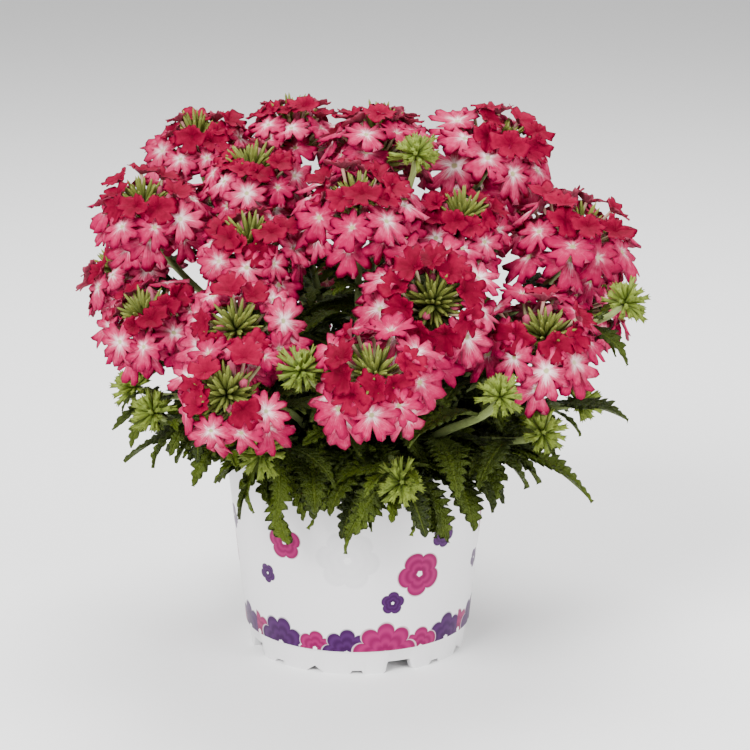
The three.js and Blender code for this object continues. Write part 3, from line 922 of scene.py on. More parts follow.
# How deep the teeth are cut, and how much that and their width differ by draw.
CUT = 0.50
CUT_DRAW = 0.14
TOOTH_DRAW = 0.12
# The share of a stem below which the leaves of the fill pairs get painted shade, as leaves inside
# the plant would have, and how much it lowers their tint and so darkens them. Some of the others
# get it too, by draw.
SHADED_LEAF_SHARE = 0.36
PAINTED_LEAF_SHADE = 0.9
# How the solid model moves a leaf that would touch another part, in the order that it tries, and
# how near to a leaf's tip it must have a point.
LEAF_TRIES = [
    (rise, swing) for rise in (0, -22, 22) for swing in (0, 18, -18, 36, -36, 60, -60, 90)
]
LEAF_MATCH = 0.1
# The solid model's leaf pairs: station, length, turn and pitch.
HEAD_PAIRS = [(3, 38, 80, 28)]
SHOOT_PAIRS = [(2, 50, 40, 16), (4, 40, 92, 14)]
# How much such a leaf differs by draw: its length as a share, its turn and pitch in degrees.
LEAF_DRAW = {"length": 0.1, "turn": 12, "pitch": 8}
# Its single long leaves: shoot, station, length, turn, pitch and droop.
LONG_LEAVES = [
    ("left", 3, 52, -80, -6, 34),
    ("left_side", 4, 34, -68, -4, 40),
    ("right", 3, 58, 78, -8, 40),
    ("right_side", 4, 50, 52, 22, 40),
    ("front", 4, 46, -78, -34, 50),
]


def leaf(length, seed, droop, fold, width_share=LEAF_WIDTH_SHARE, columns=LEAF_COLUMNS):
    """A toothed blade along +X that droops on an arc, with sunk veins."""
    bend = math.radians(droop) / length
    teeth = max(round(length / TOOTH_PITCH), 4)
    rows = 3 * teeth + 2
    widest = 0.5 * length * width_share * 1.08
    wave = LEAF_WAVE * length * (1 + LEAF_WAVE_DRAW * draw(seed, 5))
    phase = math.pi * draw(seed, 6)

    def half_width(row, across):
        share, tooth = row / rows, TOOTH[(row - 2) % 3]
        blade = max(share - LEAF_STALK, 0.0) / (1 - LEAF_STALK)
        half = widest * math.sin(math.pi * blade**0.82) ** 0.72 if 0 < blade < 1 else 0.0
        cut = (CUT + CUT_DRAW * draw(seed, 20 + (row - 2) // 3)) * (1 - tooth)
        cut = cut * max(abs(across) - TOOTH_ROOT, 0) / (1 - TOOTH_ROOT)
        half *= (1 - cut) * (1 + TOOTH_DRAW * draw(seed, 60 + row // 3 + 20 * (across > 0)))
        half = max(half, STALK_WIDTH * length * (share < 0.5) * (0 < row))
        return 0.0 if row in (0, rows) else half

    def shape(u, v):
        across = 4 * u - 1 if u <= 0.5 else 3 - 4 * u
        face = 1 if u <= 0.5 else -1
        row = round(v * rows)
        share, tooth = row / rows, TOOTH[(row - 2) % 3]
        side = abs(across)
        half = half_width(row, across)
        s = share * (length + LEAF_ROOT) - LEAF_ROOT
        s += TOOTH_LEAN * length * tooth * side**3 * (1 - share)
        swell = abs(math.sin(math.pi * (row / 3 - 0.8 * side)))
        lift = fold * half * side + LEAF_SWELL * length * swell * side * (1 - side) * 4
        lift += wave * side**2 * math.sin(9 * share + phase + 0.9 * across)
        midrib = MIDRIB if face < 0 and side < 0.1 else 0.0
        lift += face * LEAF_THICKNESS * (1 - side**2) - midrib * (1 - share)
        angle = bend * s
        place = Vector((
            math.sin(angle) / bend + lift * math.sin(angle),
            across * half,
            (math.cos(angle) - 1) / bend + lift * math.cos(angle),
        ))
        return place, {"along": share, "across": across}

    return shell(rows, columns, shape, lambda u, v: 0 if u < 0.5 else 1)


def on_midrib(angle, bend):
    """A point of a drooping leaf's midrib, in metres, at an angle of its arc."""
    return Vector((math.sin(angle) / bend, 0, (math.cos(angle) - 1) / bend)) * MM


def leaf_place(point, pitch, turn):
    """The place of a leaf: its foot in millimetres, its pitch from level and its turn."""
    tip = Matrix.Rotation(-math.radians(pitch), 4, "Y")
    return Matrix.Translation(point * MM) @ Matrix.Rotation(math.radians(turn - 90), 4, "Z") @ tip


def node_points(name):
    """The points of a node of the solid model, to look places up in."""
    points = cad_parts[name].data.vertices
    tree = KDTree(len(points))
    for i, vert in enumerate(points):
        tree.insert(vert.co, i)
    tree.balance()
    return tree


def asked_leaves(plant):
    """The leaves that the solid model asks for.

    Each is given by station, side, length, turn, pitch, droop and number.
    """
    for k, (shoot, station, length, turn, pitch, droop) in enumerate(LONG_LEAVES):
        if shoot == plant.name and not plant.flowering:
            yield station, 1, length, turn, pitch, droop, 90 + k
    pairs = HEAD_PAIRS if plant.flowering else SHOOT_PAIRS
    for p, (station, size, spread, lift) in enumerate(pairs):
        for side in (1, -1):
            number = 10 * p + side
            length = size * (1 + LEAF_DRAW["length"] * draw(plant.item, number))
            swing = LEAF_DRAW["turn"] * draw(plant.item, 100 + number)
            turn = plant.outward + side * (spread + swing)
            pitch = lift + LEAF_DRAW["pitch"] * draw(plant.item, 200 + number)
            yield station, side, length, turn, pitch, LEAF_DROOP, number


def solid_leaves(plant):
    """The solid model's leaves on a stem, with the place that each was given there."""
    points = node_points(plant.node)
    for station, side, length, turn, pitch, droop, number in asked_leaves(plant):
        bend = math.radians(droop) / length
        apex = on_midrib(bend * length, bend)
        for rise, swing in LEAF_TRIES:
            place = leaf_place(plant.stations[station], pitch + rise, turn + side * swing)
            if points.find(place @ apex)[2] < LEAF_MATCH * MM:
                yield place, length, droop, number
                break


# ---------------------------------------- settings


def colour(name, description, default):
    """A setting that holds a colour."""
    return FloatVectorProperty(
        name=name, description=description, subtype="COLOR", default=default, min=0, max=1)


class VerbenaPot(bpy.types.PropertyGroup):
    """The pot and its printed wrap."""

    segments: IntProperty(name="Segments", description="Steps round the pot", default=288, min=72)
    white: colour("Plastic", "Colour of the pot and the ground of the print", (0.80, 0.79, 0.80))
    magenta: colour("Magenta ink", "First colour of the print", (0.155, 0.0, 0.052))
    purple: colour("Purple ink", "Second colour of the print", (0.027, 0.0008, 0.042))
    grey: colour("Grey ink", "Faint third colour of the print", (0.60, 0.59, 0.61))


class VerbenaFlowers(bpy.types.PropertyGroup):
    """The petals, eyes, tubes and calyces."""

    # A young petal is mixed between these two crimsons partly at random and partly as painted
    # shade, darker towards the flower's middle and lit towards its rim.
    crimson: colour("Young petal", "Colour of a petal that has just opened", (0.115, 0.0, 0.011))
    crimson_light: colour("Young petal, lit", "Lighter colour of a young petal", (0.29, 0.0, 0.034))
    coral: colour("Old petal", "Colour of an older petal's rim", (0.33, 0.001, 0.054))
    pink: colour(
        "Old petal, faded", "Colour of an older petal towards its eye", (0.56, 0.065, 0.15))
    eye: colour("Eye", "Colour of the star round the throat", (0.96, 0.86, 0.85))
    throat: colour("Throat", "Colour of the tube's mouth", (0.34, 0.34, 0.10))
    back: colour("Petal back", "Colour that a petal's back fades to", (0.46, 0.11, 0.17))
    tube: colour("Tube", "Colour of a flower's tube", (0.34, 0.36, 0.17))
    calyx_low: colour("Calyx foot", "Colour of a calyx near its foot", (0.072, 0.090, 0.013))
    calyx_high: colour("Calyx tip", "Colour of a calyx near its tip", (0.205, 0.230, 0.040))
    young_low: colour(
        "Young calyx foot", "Colour of a young calyx near its foot", (0.095, 0.140, 0.016))
    young_high: colour(
        "Young calyx tip", "Colour of a young calyx near its tip", (0.225, 0.290, 0.036))
    buds: IntProperty(name="Closed buds", description="Closed buds on a head", default=4, min=0)
    tuft: IntProperty(
        name="Tuft", description="Green calyces in the middle of a head", default=52, min=1)
    cluster: IntProperty(
        name="Cluster", description="Calyces in a shoot's bud cluster", default=40, min=1)


class VerbenaLeaves(bpy.types.PropertyGroup):
    """The stems and leaves."""

    # A leaf is mixed between these two greens by random tone and by painted light and shade. The
    # dark green also stands for the shade at a leaf's foot and inside the plant, and the light
    # green for its lit tip.
    dark: colour("Dark green", "Darker colour of a leaf", (0.011, 0.018, 0.001))
    light: colour("Light green", "Lighter colour of a leaf", (0.074, 0.108, 0.004))
    vein: colour("Vein", "Colour of the veins", (0.105, 0.140, 0.014))
    back: colour("Leaf back", "Colour that a leaf's back fades to", (0.068, 0.094, 0.012))
    stem_low: colour("Stem foot", "Colour of a stem near the soil", (0.06, 0.082, 0.022))
    stem_high: colour("Stem top", "Colour of a stem near its tip", (0.26, 0.32, 0.105))
    stem_radius: FloatProperty(
        name="Stem radius", description="Radius of a stem at its foot",
        default=1.9 * MM, unit="LENGTH")
    hairs: IntProperty(name="Hairs", description="Hairs on each stem", default=170, min=0)


class VerbenaStage(bpy.types.PropertyGroup):
    """The floor and the light."""

    floor: colour("Floor", "Colour of the floor", (0.93, 0.93, 0.93))
    sky: FloatProperty(
        name="Sky", description="Strength of the light from all round", default=0.72, min=0)
    key: FloatProperty(
        name="Key", description="Power of the main lamp", default=80.0, min=0, unit="POWER")


# ---------------------------------------- operators


class VERBENA_OT_pot(bpy.types.Operator):
    """Make the pot, with its printed wrap"""

    bl_idname = "verbena.pot"
    bl_label = "Pot"

    def execute(self, context):
        pot = context.scene.verbena_pot
        floor_top = POT["foot_height"] + POT["floor"]
        foot_inner = POT["foot_radius"] - POT["foot_width"]
        lip_inner = POT["lip_radius"] - POT["lip_wall"]
        shoulder = POT["shoulder_height"]

        def inner(z):
            flare = POT["shoulder_radius"] - POT["foot_radius"]
            return POT["foot_radius"] + flare * (z / shoulder) - POT["wall"]

        profile = [
            (0.0, POT["foot_height"]), (foot_inner, POT["foot_height"]), (foot_inner, 0.0),
            (POT["foot_radius"], 0.0), (POT["band_radius"], POT["band_height"]),
            (POT["label_radius"], POT["label_height"]), (POT["shoulder_radius"], shoulder),
            (POT["lip_radius"], POT["lip_height"]), (POT["lip_radius"], POT["height"]),
            (lip_inner, POT["height"]), (inner(shoulder), shoulder),
            (inner(floor_top), floor_top), (0.0, floor_top),
        ]
        bm = bmesh.new()
        verts = [bm.verts.new(Vector((0, -r, z)) * MM) for r, z in profile]
        edges = [bm.edges.new(pair) for pair in zip(verts, verts[1:])]
        bmesh.ops.spin(bm, geom=verts + edges, cent=(0, 0, 0), axis=UP, angle=2 * math.pi,
                       steps=pot.segments, use_merge=True)
        bmesh.ops.remove_doubles(bm, verts=bm.verts, dist=0.01 * MM)
        bmesh.ops.recalc_face_normals(bm, faces=bm.faces)
        for vert in bm.verts:
            if vert.co.z < 0.1 * MM:
                vert.co.z = notch_depth(math.degrees(math.atan2(vert.co.x, -vert.co.y))) * MM
        for face in bm.faces:
            middle = face.calc_center_median()
            radius, height = middle.xy.length / MM, middle.z / MM
            outside = radius > inner(height) + WRAP_DEPTH
            wrapped = POT["label_height"] < height < shoulder and outside
            face.material_index = 1 if wrapped else 0
            face.smooth = True
        piece = new_object("nursery_pot", bm)
        piece.data.materials.append(plastic_finish("pot plastic", pot.white))
        piece.data.materials.append(label_finish(pot))
        drill_drains(context, piece)
        softened = piece.modifiers.new("Soft edges", "BEVEL")
        softened.width, softened.segments = EDGE_ROUNDING * MM, 2
        softened.limit_method, softened.angle_limit = "ANGLE", math.radians(EDGE_ANGLE)
        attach(piece, "root")
        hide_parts("pot")
        return {"FINISHED"}


def notch_depth(turn):
    """How far the foot ring is cut up at a turn."""
    depth = 0.0
    for middle, width, rise, top in NOTCHES:
        away = (turn - middle + NOTCH_REPEAT / 2) % NOTCH_REPEAT - NOTCH_REPEAT / 2
        share = abs(math.radians(away)) * POT["foot_radius"] / (width / 2)
        if share < 1:
            depth = max(depth, rise * min(1.0, (1 - share) / (1 - top)))
    return depth


def drill_drains(context, piece):
    """Cuts the drain holes through the pot's floor."""
    bm = bmesh.new()
    radius = DRAINS["radius"] * MM
    for k in range(DRAINS["count"]):
        place = ring_point(DRAINS["ring"], 2 * math.pi * k / DRAINS["count"], POT["foot_height"])
        bmesh.ops.create_cone(
            bm, cap_ends=True, segments=DRAINS["sides"], radius1=radius, radius2=radius,
            depth=DRAINS["drill"] * MM, matrix=Matrix.Translation(place * MM))
    drill = new_object("drill", bm)
    cut = piece.modifiers.new("Drains", "BOOLEAN")
    cut.object, cut.operation, cut.solver = drill, "DIFFERENCE", "EXACT"
    context.view_layer.update()
    shown = piece.evaluated_get(context.evaluated_depsgraph_get())
    drilled = bpy.data.meshes.new_from_object(shown)
    piece.modifiers.clear()
    piece.data = drilled
    bpy.data.objects.remove(drill)


class VERBENA_OT_soil(bpy.types.Operator):
    """Make the crumbly soil that fills the pot"""

    bl_idname = "verbena.soil"
    bl_label = "Soil"

    def execute(self, context):
        low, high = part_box("soil")
        rows = SOIL["rings"] + 2

        def shape(u, v):
            row = round(v * rows)
            angle = 2 * math.pi * u
            if row == 0:
                return Vector((0, 0, low.z / MM)), {}
            if row == 1:
                return ring_point(high.x / MM * SOIL["foot"], angle, low.z / MM), {}
            radius = high.x / MM * (rows - row) / SOIL["rings"]
            spot = ring_point(radius, angle, 3.0)
            rough = 1.1 * noise.noise(spot * 0.22) + 0.7 * noise.noise(spot * 0.7)
            return ring_point(radius, angle, high.z / MM + rough), {}

        soil = Assembly()
        soil.add(shell(rows, SOIL["steps"], shape))
        for k in range(SOIL["crumbs"]):
            crumb = bmesh.new()
            size = (SOIL["crumb"] + 0.6 * draw(k, 3)) * MM
            bmesh.ops.create_icosphere(crumb, subdivisions=1, radius=size)
            for vert in crumb.verts:
                vert.co *= 1 + 0.3 * noise.noise(vert.co / MM + Vector((k, 0, 0)))
            radius = high.x / MM * SOIL["reach"] * math.sqrt(0.5 + 0.5 * draw(k, 1))
            spot = ring_point(radius, math.pi * draw(k, 2), high.z / MM + 0.3)
            soil.add(crumb, at(spot, facing(60 * abs(draw(k, 4)), 180 * draw(k, 5))))
        soil.piece("peat_soil", [soil_finish()], "soil", "soil")
        return {"FINISHED"}


class VERBENA_OT_stems(bpy.types.Operator):
    """Make the square hairy stems, with the green calyces that they end in"""

    bl_idname = "verbena.stems"
    bl_label = "Stems and buds"

    def execute(self, context):
        flowers, leaves = context.scene.verbena_flowers, context.scene.verbena_leaves
        finishes = [
            green_finish("stem", leaves.stem_low, leaves.stem_high, 0.35),
            green_finish("calyx", flowers.calyx_low, flowers.calyx_high, 0.4),
            green_finish("young calyx", flowers.young_low, flowers.young_high, 0.4),
        ]
        opened, closed = calyx(CALYX_COLUMNS, OPEN_CALYX), calyx(CALYX_COLUMNS, CLOSED_CALYX)
        for face in closed.faces:
            face.material_index = 1
        for face in opened.faces:
            face.material_index = 2
        hair = bmesh.new()
        bmesh.ops.create_cone(
            hair, cap_ends=True, segments=3, radius1=HAIR_RADIUS * MM, radius2=0.0,
            depth=HAIR_LENGTH * MM)
        for plant in PLANTS:
            stalk, item = Assembly(), plant.item
            width = leaves.stem_radius / MM * STOUT_STEMS.get(plant.name, 1.0)
            points = stations(plant.curve, STEM_STEPS)
            radius = partial(stem_radius, width)
            stalk.add(tube(points, radius, STEM_SIDES, STEM_RIBS), tint=draw(item, 60))
            add_hairs(stalk, points, width, item, leaves.hairs, hair)
            if plant.flowering:
                add_calyces(stalk, closed, plant.tip, plant.axis, item, flowers.tuft, **TUFT)
            else:
                add_calyces(stalk, opened, plant.tip, plant.axis, item, flowers.cluster, **CLUSTER)
            for on, station, x, y, z, tilt, turn in BRANCHES:
                if on != plant.name or not plant.flowering:
                    continue
                axis, tip = facing(tilt, turn), Vector((x, y, z))
                start = plant.stations[station]
                along = (plant.stations[station + 1] - start).normalized()
                lead = (tip - start).length * BRANCH_LEAD
                curve = (start, start + along * lead, tip - axis * lead, tip)
                course = stations(curve, BRANCH_STEPS)
                stalk.add(tube(course, branch_radius, STEM_SIDES, STEM_RIBS), tint=0.3)
                add_calyces(stalk, opened, tip, axis, item + 50, flowers.cluster, **CLUSTER)
            stalk.piece("stalk_" + plant.node, finishes, "greenery", plant.node)
        opened.free()
        closed.free()
        hair.free()
        return {"FINISHED"}


# A stem's steps and sides, and the height of its four corners and how much it narrows to its tip,
# both as shares of its radius. A side branch narrows by millimetres.
STEM_STEPS = 15
STEM_SIDES = 12
STEM_RIBS = 0.09
STEM_TAPER = 0.28
BRANCH_STEPS = 9
BRANCH_RADIUS = 1.5
BRANCH_TAPER = 0.2
# The hairs on a stem: how far their middles stand off it, how much they lean to its tip, and how
# high above the soil they begin.
HAIR_RADIUS = 0.06
HAIR_LENGTH = 1.3
HAIR_LIFT = 0.5
HAIR_LEAN = 0.3
HAIRS_START = 2
# The calyces in the middle of a head and on a shoot: how far they spread from the axis, their
# length and width, and how much longer the middle ones are.
TUFT = {"spread": 74, "length": 15.2, "width": 0.90, "peak": 0.34}
CLUSTER = {"spread": 112, "length": 13.0, "width": 1.02, "peak": 0.0}
# The turn from one calyx to the next, and from one stem's first calyx to the next stem's.
GOLDEN_TURN = 137.508
STEM_TURN = 50
# How much a calyx differs by draw: its tilt and turn in degrees, its spin in radians and its
# length as a share, which is added to the least share.
CALYX_DRAW = {"tilt": 7, "turn": 14, "spin": 3, "length": 0.2}
CALYX_SHARE = 0.84


def stem_radius(width, share):
    """A stem's radius at a share of its way up, from its width at the foot."""
    return width * (1 - STEM_TAPER * share)


def branch_radius(share):
    """A side branch's radius at a share of its way."""
    return BRANCH_RADIUS - BRANCH_TAPER * share


def add_hairs(stalk, points, width, item, count, hair):
    """Short hairs that stand out from a stem all along."""
    last = len(points) - 1
    for k in range(count):
        share = (k + 0.5) / count * last
        i = min(int(share), last - 1)
        along = (points[i + 1] - points[i]).normalized()
        out = along.orthogonal().normalized()
        out.rotate(Matrix.Rotation(math.pi * draw(item * 3 + 1, k), 3, along))
        root = points[i].lerp(points[i + 1], share - i)
        if root.z < SOIL_TOP + HAIRS_START:
            continue
        reach = width * (1 - STEM_TAPER * share / last) + HAIR_LIFT
        look = (out + along * HAIR_LEAN).normalized()
        stalk.add(hair, at(root + out * reach, look), keep=True)


def add_calyces(stalk, sleeve, tip, axis, item, count, spread, length, width, peak):
    """A dome or ball of calyces round a tip. The middle ones are longer by a share, their peak."""
    tilted = UP.rotation_difference(axis)
    limit = 1 - math.cos(math.radians(spread))
    for k in range(count):
        tilt = math.degrees(math.acos(1 - limit * (k + 0.5) / count))
        tilt += CALYX_DRAW["tilt"] * draw(item, 300 + k)
        turn = GOLDEN_TURN * k + CALYX_DRAW["turn"] * draw(item, 350 + k) + STEM_TURN * item
        look = tilted @ facing(tilt, turn)
        share = CALYX_SHARE + CALYX_DRAW["length"] * draw(item, 400 + k)
        size = length * (share + peak * (1 - tilt / spread))
        spin = draw(item, 450 + k) * CALYX_DRAW["spin"]
        place = at(tip, look, spin) @ stretched(width, size)
        stalk.add(sleeve, place, tint=draw(item, 500 + k), keep=True)


class VERBENA_OT_leaves(bpy.types.Operator):
    """Make the toothed leaves, in pairs along every stem"""

    bl_idname = "verbena.leaves"
    bl_label = "Leaves"

    def execute(self, context):
        leaves = context.scene.verbena_leaves
        finishes = [leaf_finish(leaves, False), leaf_finish(leaves, True)]
        found = 0
        for plant in PLANTS:
            foliage = Assembly()
            for place, length, droop, number in solid_leaves(plant):
                seed = plant.item * 7 + number
                blade = leaf(length, seed, droop, LEAF_FOLD)
                foliage.add(blade, place, tint=draw(seed, 8))
                found += 1
            pairs = SIDE_FILL_PAIRS if plant.name in SIDE_SHOOTS else SHOOT_FILL_PAIRS
            for share, size, lift, spread in FILL_PAIRS if plant.flowering else pairs:
                if share < BARE_ABOVE.get(plant.node, 1.0):
                    add_pair(foliage, plant, share, size, lift, spread)
            foliage.piece("leaves_" + plant.node, finishes, "greenery", plant.node)
        if not found:
            raise RuntimeError("no leaf of the solid model was found for the leaves to follow")
        return {"FINISHED"}


# The leaf pairs between the solid model's: share of the stem, length, pitch, and the turn of each
# leaf from the way that the stem leans.
FILL_PAIRS = [
    (0.16, 42, 20, 45), (0.20, 46, 14, 14), (0.25, 28, 40, 110), (0.28, 48, 6, 32),
    (0.31, 40, 24, 130), (0.38, 40, 14, 58), (0.46, 26, 44, 100), (0.52, 34, 26, 140),
    (0.61, 30, 16, 84), (0.70, 28, 30, 40), (0.80, 22, 34, 120),
]
SHOOT_FILL_PAIRS = [
    (0.15, 34, 34, 62), (0.24, 38, 20, 30), (0.31, 42, 16, 95), (0.37, 46, -2, 14),
    (0.41, 44, -12, 76), (0.45, 47, -20, 48), (0.48, 42, -26, 104), (0.52, 46, -28, 22),
    (0.55, 40, -34, 68), (0.59, 44, -32, 92), (0.62, 42, -38, 40), (0.66, 38, -44, 114),
    (0.70, 41, -40, 64), (0.74, 34, -48, 88), (0.79, 34, -38, 28), (0.90, 24, 26, 30),
]
# The shoots at the sides, whose leaves stand out more and hang less.
SIDE_SHOOTS = ("left", "left_side", "right", "right_side", "right_high")
SIDE_FILL_PAIRS = [
    (0.15, 34, 34, 62), (0.24, 36, 24, 30), (0.31, 36, 20, 95), (0.38, 34, 12, 14),
    (0.45, 34, 8, 70), (0.52, 30, 4, 40), (0.58, 32, 0, 100), (0.65, 30, -6, 58),
    (0.72, 25, -8, 88), (0.81, 24, -6, 34), (0.90, 20, 20, 60),
]
# The share of a stem above which it has no more of these pairs.
BARE_ABOVE = {"shoot_front_right": 0.45, "shoot_right": 0.7}
# How much further up a leaf is turned, in steps, where it would touch the pot's rim, at how many
# points that is tested, and how far these stay above the rim and from the wall.
RIM_RISES = (0, 10, 20, 30, 40, 52)
RIM_STEPS = 12
RIM_ROOM = 1.5
WALL_ROOM = 4.0
# How much a leaf of these pairs differs by draw: turn, roll, pitch and droop in degrees, and length
# and fold as shares.
PAIR_DRAW = {"turn": 34, "roll": 36, "pitch": 18, "droop": 34, "length": 0.18, "fold": 0.12}
PAIR_DROOP = 56
PAIR_FOLD = 0.25
PAIR_STATIONS = 100


def add_pair(foliage, plant, share, size, lift, spread):
    """Two leaves at one height, on opposite sides of the way that the stem leans."""
    point = stations(plant.curve, PAIR_STATIONS)[round(share * PAIR_STATIONS)]
    for side in (-1, 1):
        seed = round(plant.item * 31 + share * 100 + side)
        turn = plant.outward + side * spread + PAIR_DRAW["turn"] * draw(seed, 1)
        length = size * (1 + PAIR_DRAW["length"] * draw(seed, 2))
        droop = PAIR_DROOP + PAIR_DRAW["droop"] * draw(seed, 4)
        roll = Matrix.Rotation(math.radians(PAIR_DRAW["roll"] * draw(seed, 9)), 4, "X")
        pitch = lift + PAIR_DRAW["pitch"] * draw(seed, 3)
        for rise in RIM_RISES:
            place = leaf_place(point, pitch + rise, turn) @ roll
            if clears_rim(place, length, droop):
                fold = PAIR_FOLD + PAIR_DRAW["fold"] * draw(seed, 5)
                blade = leaf(length, seed, droop, fold, FILL_WIDTH_SHARE, FILL_COLUMNS)
                # Painted shade: a fill leaf low on its stem, and some others by draw, get a lower
                # tint and so a darker green.
                shade = PAINTED_LEAF_SHADE if share < SHADED_LEAF_SHARE or draw(seed, 11) > 0.5 else 0.0
                foliage.add(blade, place, tint=draw(seed, 6) - shade)
                break


def clears_rim(place, length, droop):
    """Whether a leaf's midrib stays out of the pot's wall and passes over its lip."""
    bend = math.radians(droop) / length
    flare = POT["lip_radius"] - POT["foot_radius"]
    for k in range(1, RIM_STEPS + 1):
        point = place @ on_midrib(math.radians(droop) * k / RIM_STEPS, bend) / MM
        wall = POT["foot_radius"] + flare * point.z / POT["height"]
        if point.z < POT["height"] + RIM_ROOM and abs(point.xy.length - wall) < WALL_ROOM:
            return False
    return True


class VERBENA_OT_flowers(bpy.types.Operator):
    """Make the heads of flowers, with their tubes, calyces and closed buds"""

    bl_idname = "verbena.flowers"
    bl_label = "Flowers"

    def execute(self, context):
        flowers = context.scene.verbena_flowers
        petals = [petal_finish(flowers, False), petal_finish(flowers, True), tube_finish(flowers)]
        greens = [green_finish("head calyx", flowers.calyx_low, flowers.calyx_high, 0.5)]
        sleeve, bud = calyx(PETALS, HIDDEN_CALYX), closed_bud()
        for plant in PLANTS:
            if not plant.flowering:
                continue
            bloom, sleeves = Assembly(), Assembly()
            for ring, number, tilt, look, distance, dropped in head_spots(plant):
                if crowded(plant, plant.hub + look * distance):
                    distance -= CROWD_STEP
                length = min(distance - SLEEVE["room"], SLEEVE["longest"])
                size = stretched(SLEEVE["width"], length)
                place = at(plant.hub + look * SLEEVE["start"], look) @ size
                sleeves.add(sleeve, place, tint=draw(plant.item, 90 + number), keep=True)
                if not dropped and not near_buds(plant.hub + look * distance):
                    add_flower(bloom, plant, ring, number, tilt, look, distance)
            tilted = UP.rotation_difference(plant.axis)
            for k in range(flowers.buds):
                seed = plant.item * 40 + k
                turn = 360 * k / flowers.buds + BUDS_DRAW["turn"] * draw(seed, 2)
                look = tilted @ facing(BUDS["tilt"] + BUDS_DRAW["tilt"] * draw(seed, 1), turn)
                length = BUDS["length"] + BUDS_DRAW["length"] * draw(seed, 3)
                size = stretched(BUDS["width"], length)
                place = at(plant.hub + look * BUDS["start"], look) @ size
                bloom.add(bud, place, tint=draw(seed, 4), keep=True)
                place = at(plant.hub + look * SLEEVE["start"], look) @ BUD_SLEEVE
                sleeves.add(sleeve, place, tint=0.2, keep=True)
            bloom.piece("petals_" + plant.name, petals, "petals", "flowers_" + plant.name)
            sleeves.piece("calyces_" + plant.name, greens, "greenery", "flowers_" + plant.name)
        sleeve.free()
        bud.free()
        return {"FINISHED"}


# The calyx of an open flower: where it starts from the hub, its width, its greatest length, and
# how much shorter it stays than the flower's distance.
SLEEVE = {"start": 3.0, "width": 1.2, "longest": 10.5, "room": 6.0}
# The closed buds round the tuft, how much they differ by draw, and the stretch of their calyces.
BUDS = {"tilt": 27, "start": 6.0, "width": 1.9, "length": 17.5}
BUDS_DRAW = {"tilt": 6, "turn": 40, "length": 1.5}
BUD_SLEEVE = stretched(1.25, 11.0)
# How much a flower differs by draw: its age in a ring that the solid model has and in one that it
# hasn't, its size, the way that it faces and its spin.
AGE_DRAW = 0.14
EXTRA_AGE_DRAW = 0.3
REACH_DRAW = 0.10
GAZE_DRAW = 0.42
SPIN_DRAW = 0.3
# The tube below a flower: how far it starts under the mouth, the length that keeps to the flower's
# way, its radius at the foot and how much it widens.
TUBE_TOP = 1.6
TUBE_LEAD = 2.0
TUBE_RADIUS = 0.6
TUBE_FLARE = 0.2
TUBE_STEPS = 3
TUBE_SIDES = 6


def add_flower(bloom, plant, ring, number, tilt, look, distance):
    """One open flower of a head, with its tube down to the stem."""
    seed = plant.item * 100 + number
    spread = EXTRA_AGE_DRAW if ring["solid"] == 0 else AGE_DRAW
    age = min(max(ring["age"] + spread * draw(seed, 7), 0.0), 1.0)
    reach = ring["reach"] * plant.radius / DOME_RADIUS * (1 + REACH_DRAW * draw(seed, 8))
    middle = plant.hub + look * distance
    gaze = (look + plant.axis * ring["gaze"] + jitter(seed) * GAZE_DRAW).normalized()
    down = Matrix.Rotation(SPIN_DRAW * draw(seed, 14), 3, gaze) @ -plant.axis
    bloom.add(flower(reach, age, seed), upright(middle, gaze, down), tint=draw(seed, 12))
    foot = plant.hub + look * (ROOT_RING / math.sin(math.radians(tilt)))
    throat = middle - gaze * TUBE_TOP
    neck = (foot, foot.lerp(throat, 0.5), throat - gaze * TUBE_LEAD, throat)
    points = stations(neck, TUBE_STEPS)
    funnel = tube(points, lambda share: TUBE_RADIUS + TUBE_FLARE * share, TUBE_SIDES)
    for face in funnel.faces:
        face.material_index = 2
    bloom.add(funnel, tint=draw(seed, 12))


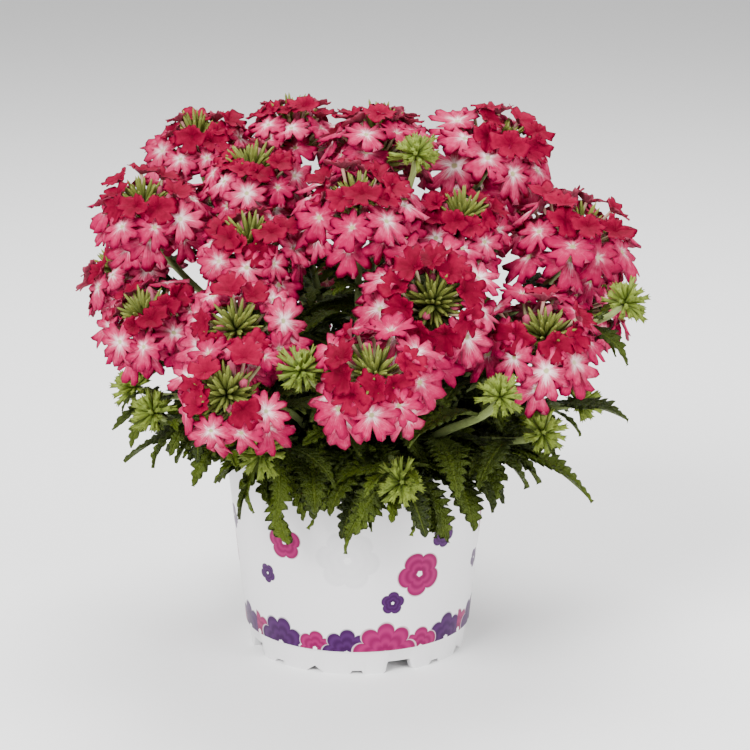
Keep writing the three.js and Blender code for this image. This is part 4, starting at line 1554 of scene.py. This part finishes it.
class VERBENA_OT_stage(bpy.types.Operator):
    """Set the floor, the soft light and the camera"""

    bl_idname = "verbena.stage"
    bl_label = "Stage"

    def execute(self, context):
        stage = context.scene.verbena_stage
        bm = bmesh.new()
        bmesh.ops.create_circle(bm, cap_ends=True, segments=64, radius=FLOOR_RADIUS)
        floor = new_object("floor", bm)
        paper = Shader("pale paper", Roughness=0.9)
        paper.colour(rgba(stage.floor))
        floor.data.materials.append(paper.material)
        floor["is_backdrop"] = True

        world = bpy.data.worlds.new("soft box")
        world.use_nodes = True
        sky = world.node_tree.nodes["Background"]
        sky.inputs["Color"].default_value = (1.0, 1.0, 1.0, 1.0)
        sky.inputs["Strength"].default_value = stage.sky
        context.scene.world = world

        target = Vector(CAMERA_TARGET) * MM
        for name, place, width, share in LAMPS:
            light = bpy.data.lights.new(name, "AREA")
            light.shape, light.size, light.energy = "DISK", width, stage.key * share
            lamp = bpy.data.objects.new(name, light)
            lamp.location = place
            lamp.rotation_euler = (target - lamp.location).to_track_quat("-Z", "Y").to_euler()
            context.collection.objects.link(lamp)

        height = math.radians(CAMERA_ELEVATION)
        back = Vector((0, -math.cos(height), math.sin(height)))
        camera = bpy.data.objects.new("camera", bpy.data.cameras.new("camera"))
        camera.data.sensor_width = CAMERA_SENSOR
        camera.data.lens = CAMERA_LENS
        camera.location = target + back * CAMERA_DISTANCE * MM
        camera.rotation_euler = (-back).to_track_quat("-Z", "Y").to_euler()
        context.collection.objects.link(camera)
        context.scene.camera = camera
        return {"FINISHED"}


class VERBENA_PT_panel(bpy.types.Panel):
    """Lists the steps that make the plant, and their settings"""

    bl_idname = "VERBENA_PT_panel"
    bl_label = "Potted Verbena"
    bl_space_type = "VIEW_3D"
    bl_region_type = "UI"
    bl_category = "Verbena"

    def draw(self, context):
        for operator in OPERATORS:
            self.layout.operator(operator.bl_idname)
        for name, settings in SETTINGS.items():
            box = self.layout.box()
            box.label(text=settings.__doc__)
            for setting in settings.__annotations__:
                box.prop(getattr(context.scene, name), setting)


SETTINGS = {
    "verbena_pot": VerbenaPot,
    "verbena_flowers": VerbenaFlowers,
    "verbena_leaves": VerbenaLeaves,
    "verbena_stage": VerbenaStage,
}
OPERATORS = [
    VERBENA_OT_stage,
    VERBENA_OT_pot,
    VERBENA_OT_soil,
    VERBENA_OT_stems,
    VERBENA_OT_leaves,
    VERBENA_OT_flowers,
]
CLASSES = [*SETTINGS.values(), *OPERATORS, VERBENA_PT_panel]


def register():
    for item in CLASSES:
        bpy.utils.register_class(item)
    for name, settings in SETTINGS.items():
        setattr(bpy.types.Scene, name, PointerProperty(type=settings))


def unregister():
    for name in SETTINGS:
        delattr(bpy.types.Scene, name)
    for item in reversed(CLASSES):
        bpy.utils.unregister_class(item)


def main():
    register()
    for step in (
        bpy.ops.verbena.stage,
        bpy.ops.verbena.pot,
        bpy.ops.verbena.soil,
        bpy.ops.verbena.stems,
        bpy.ops.verbena.leaves,
        bpy.ops.verbena.flowers,
    ):
        step()
    bpy.context.view_layer.update()
    sizes = {"solid": CAD_BOX, "visual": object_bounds()}
    {name: [list(corner) for corner in box] for name, box in sizes.items()}


if __name__ == "__main__":
    main()
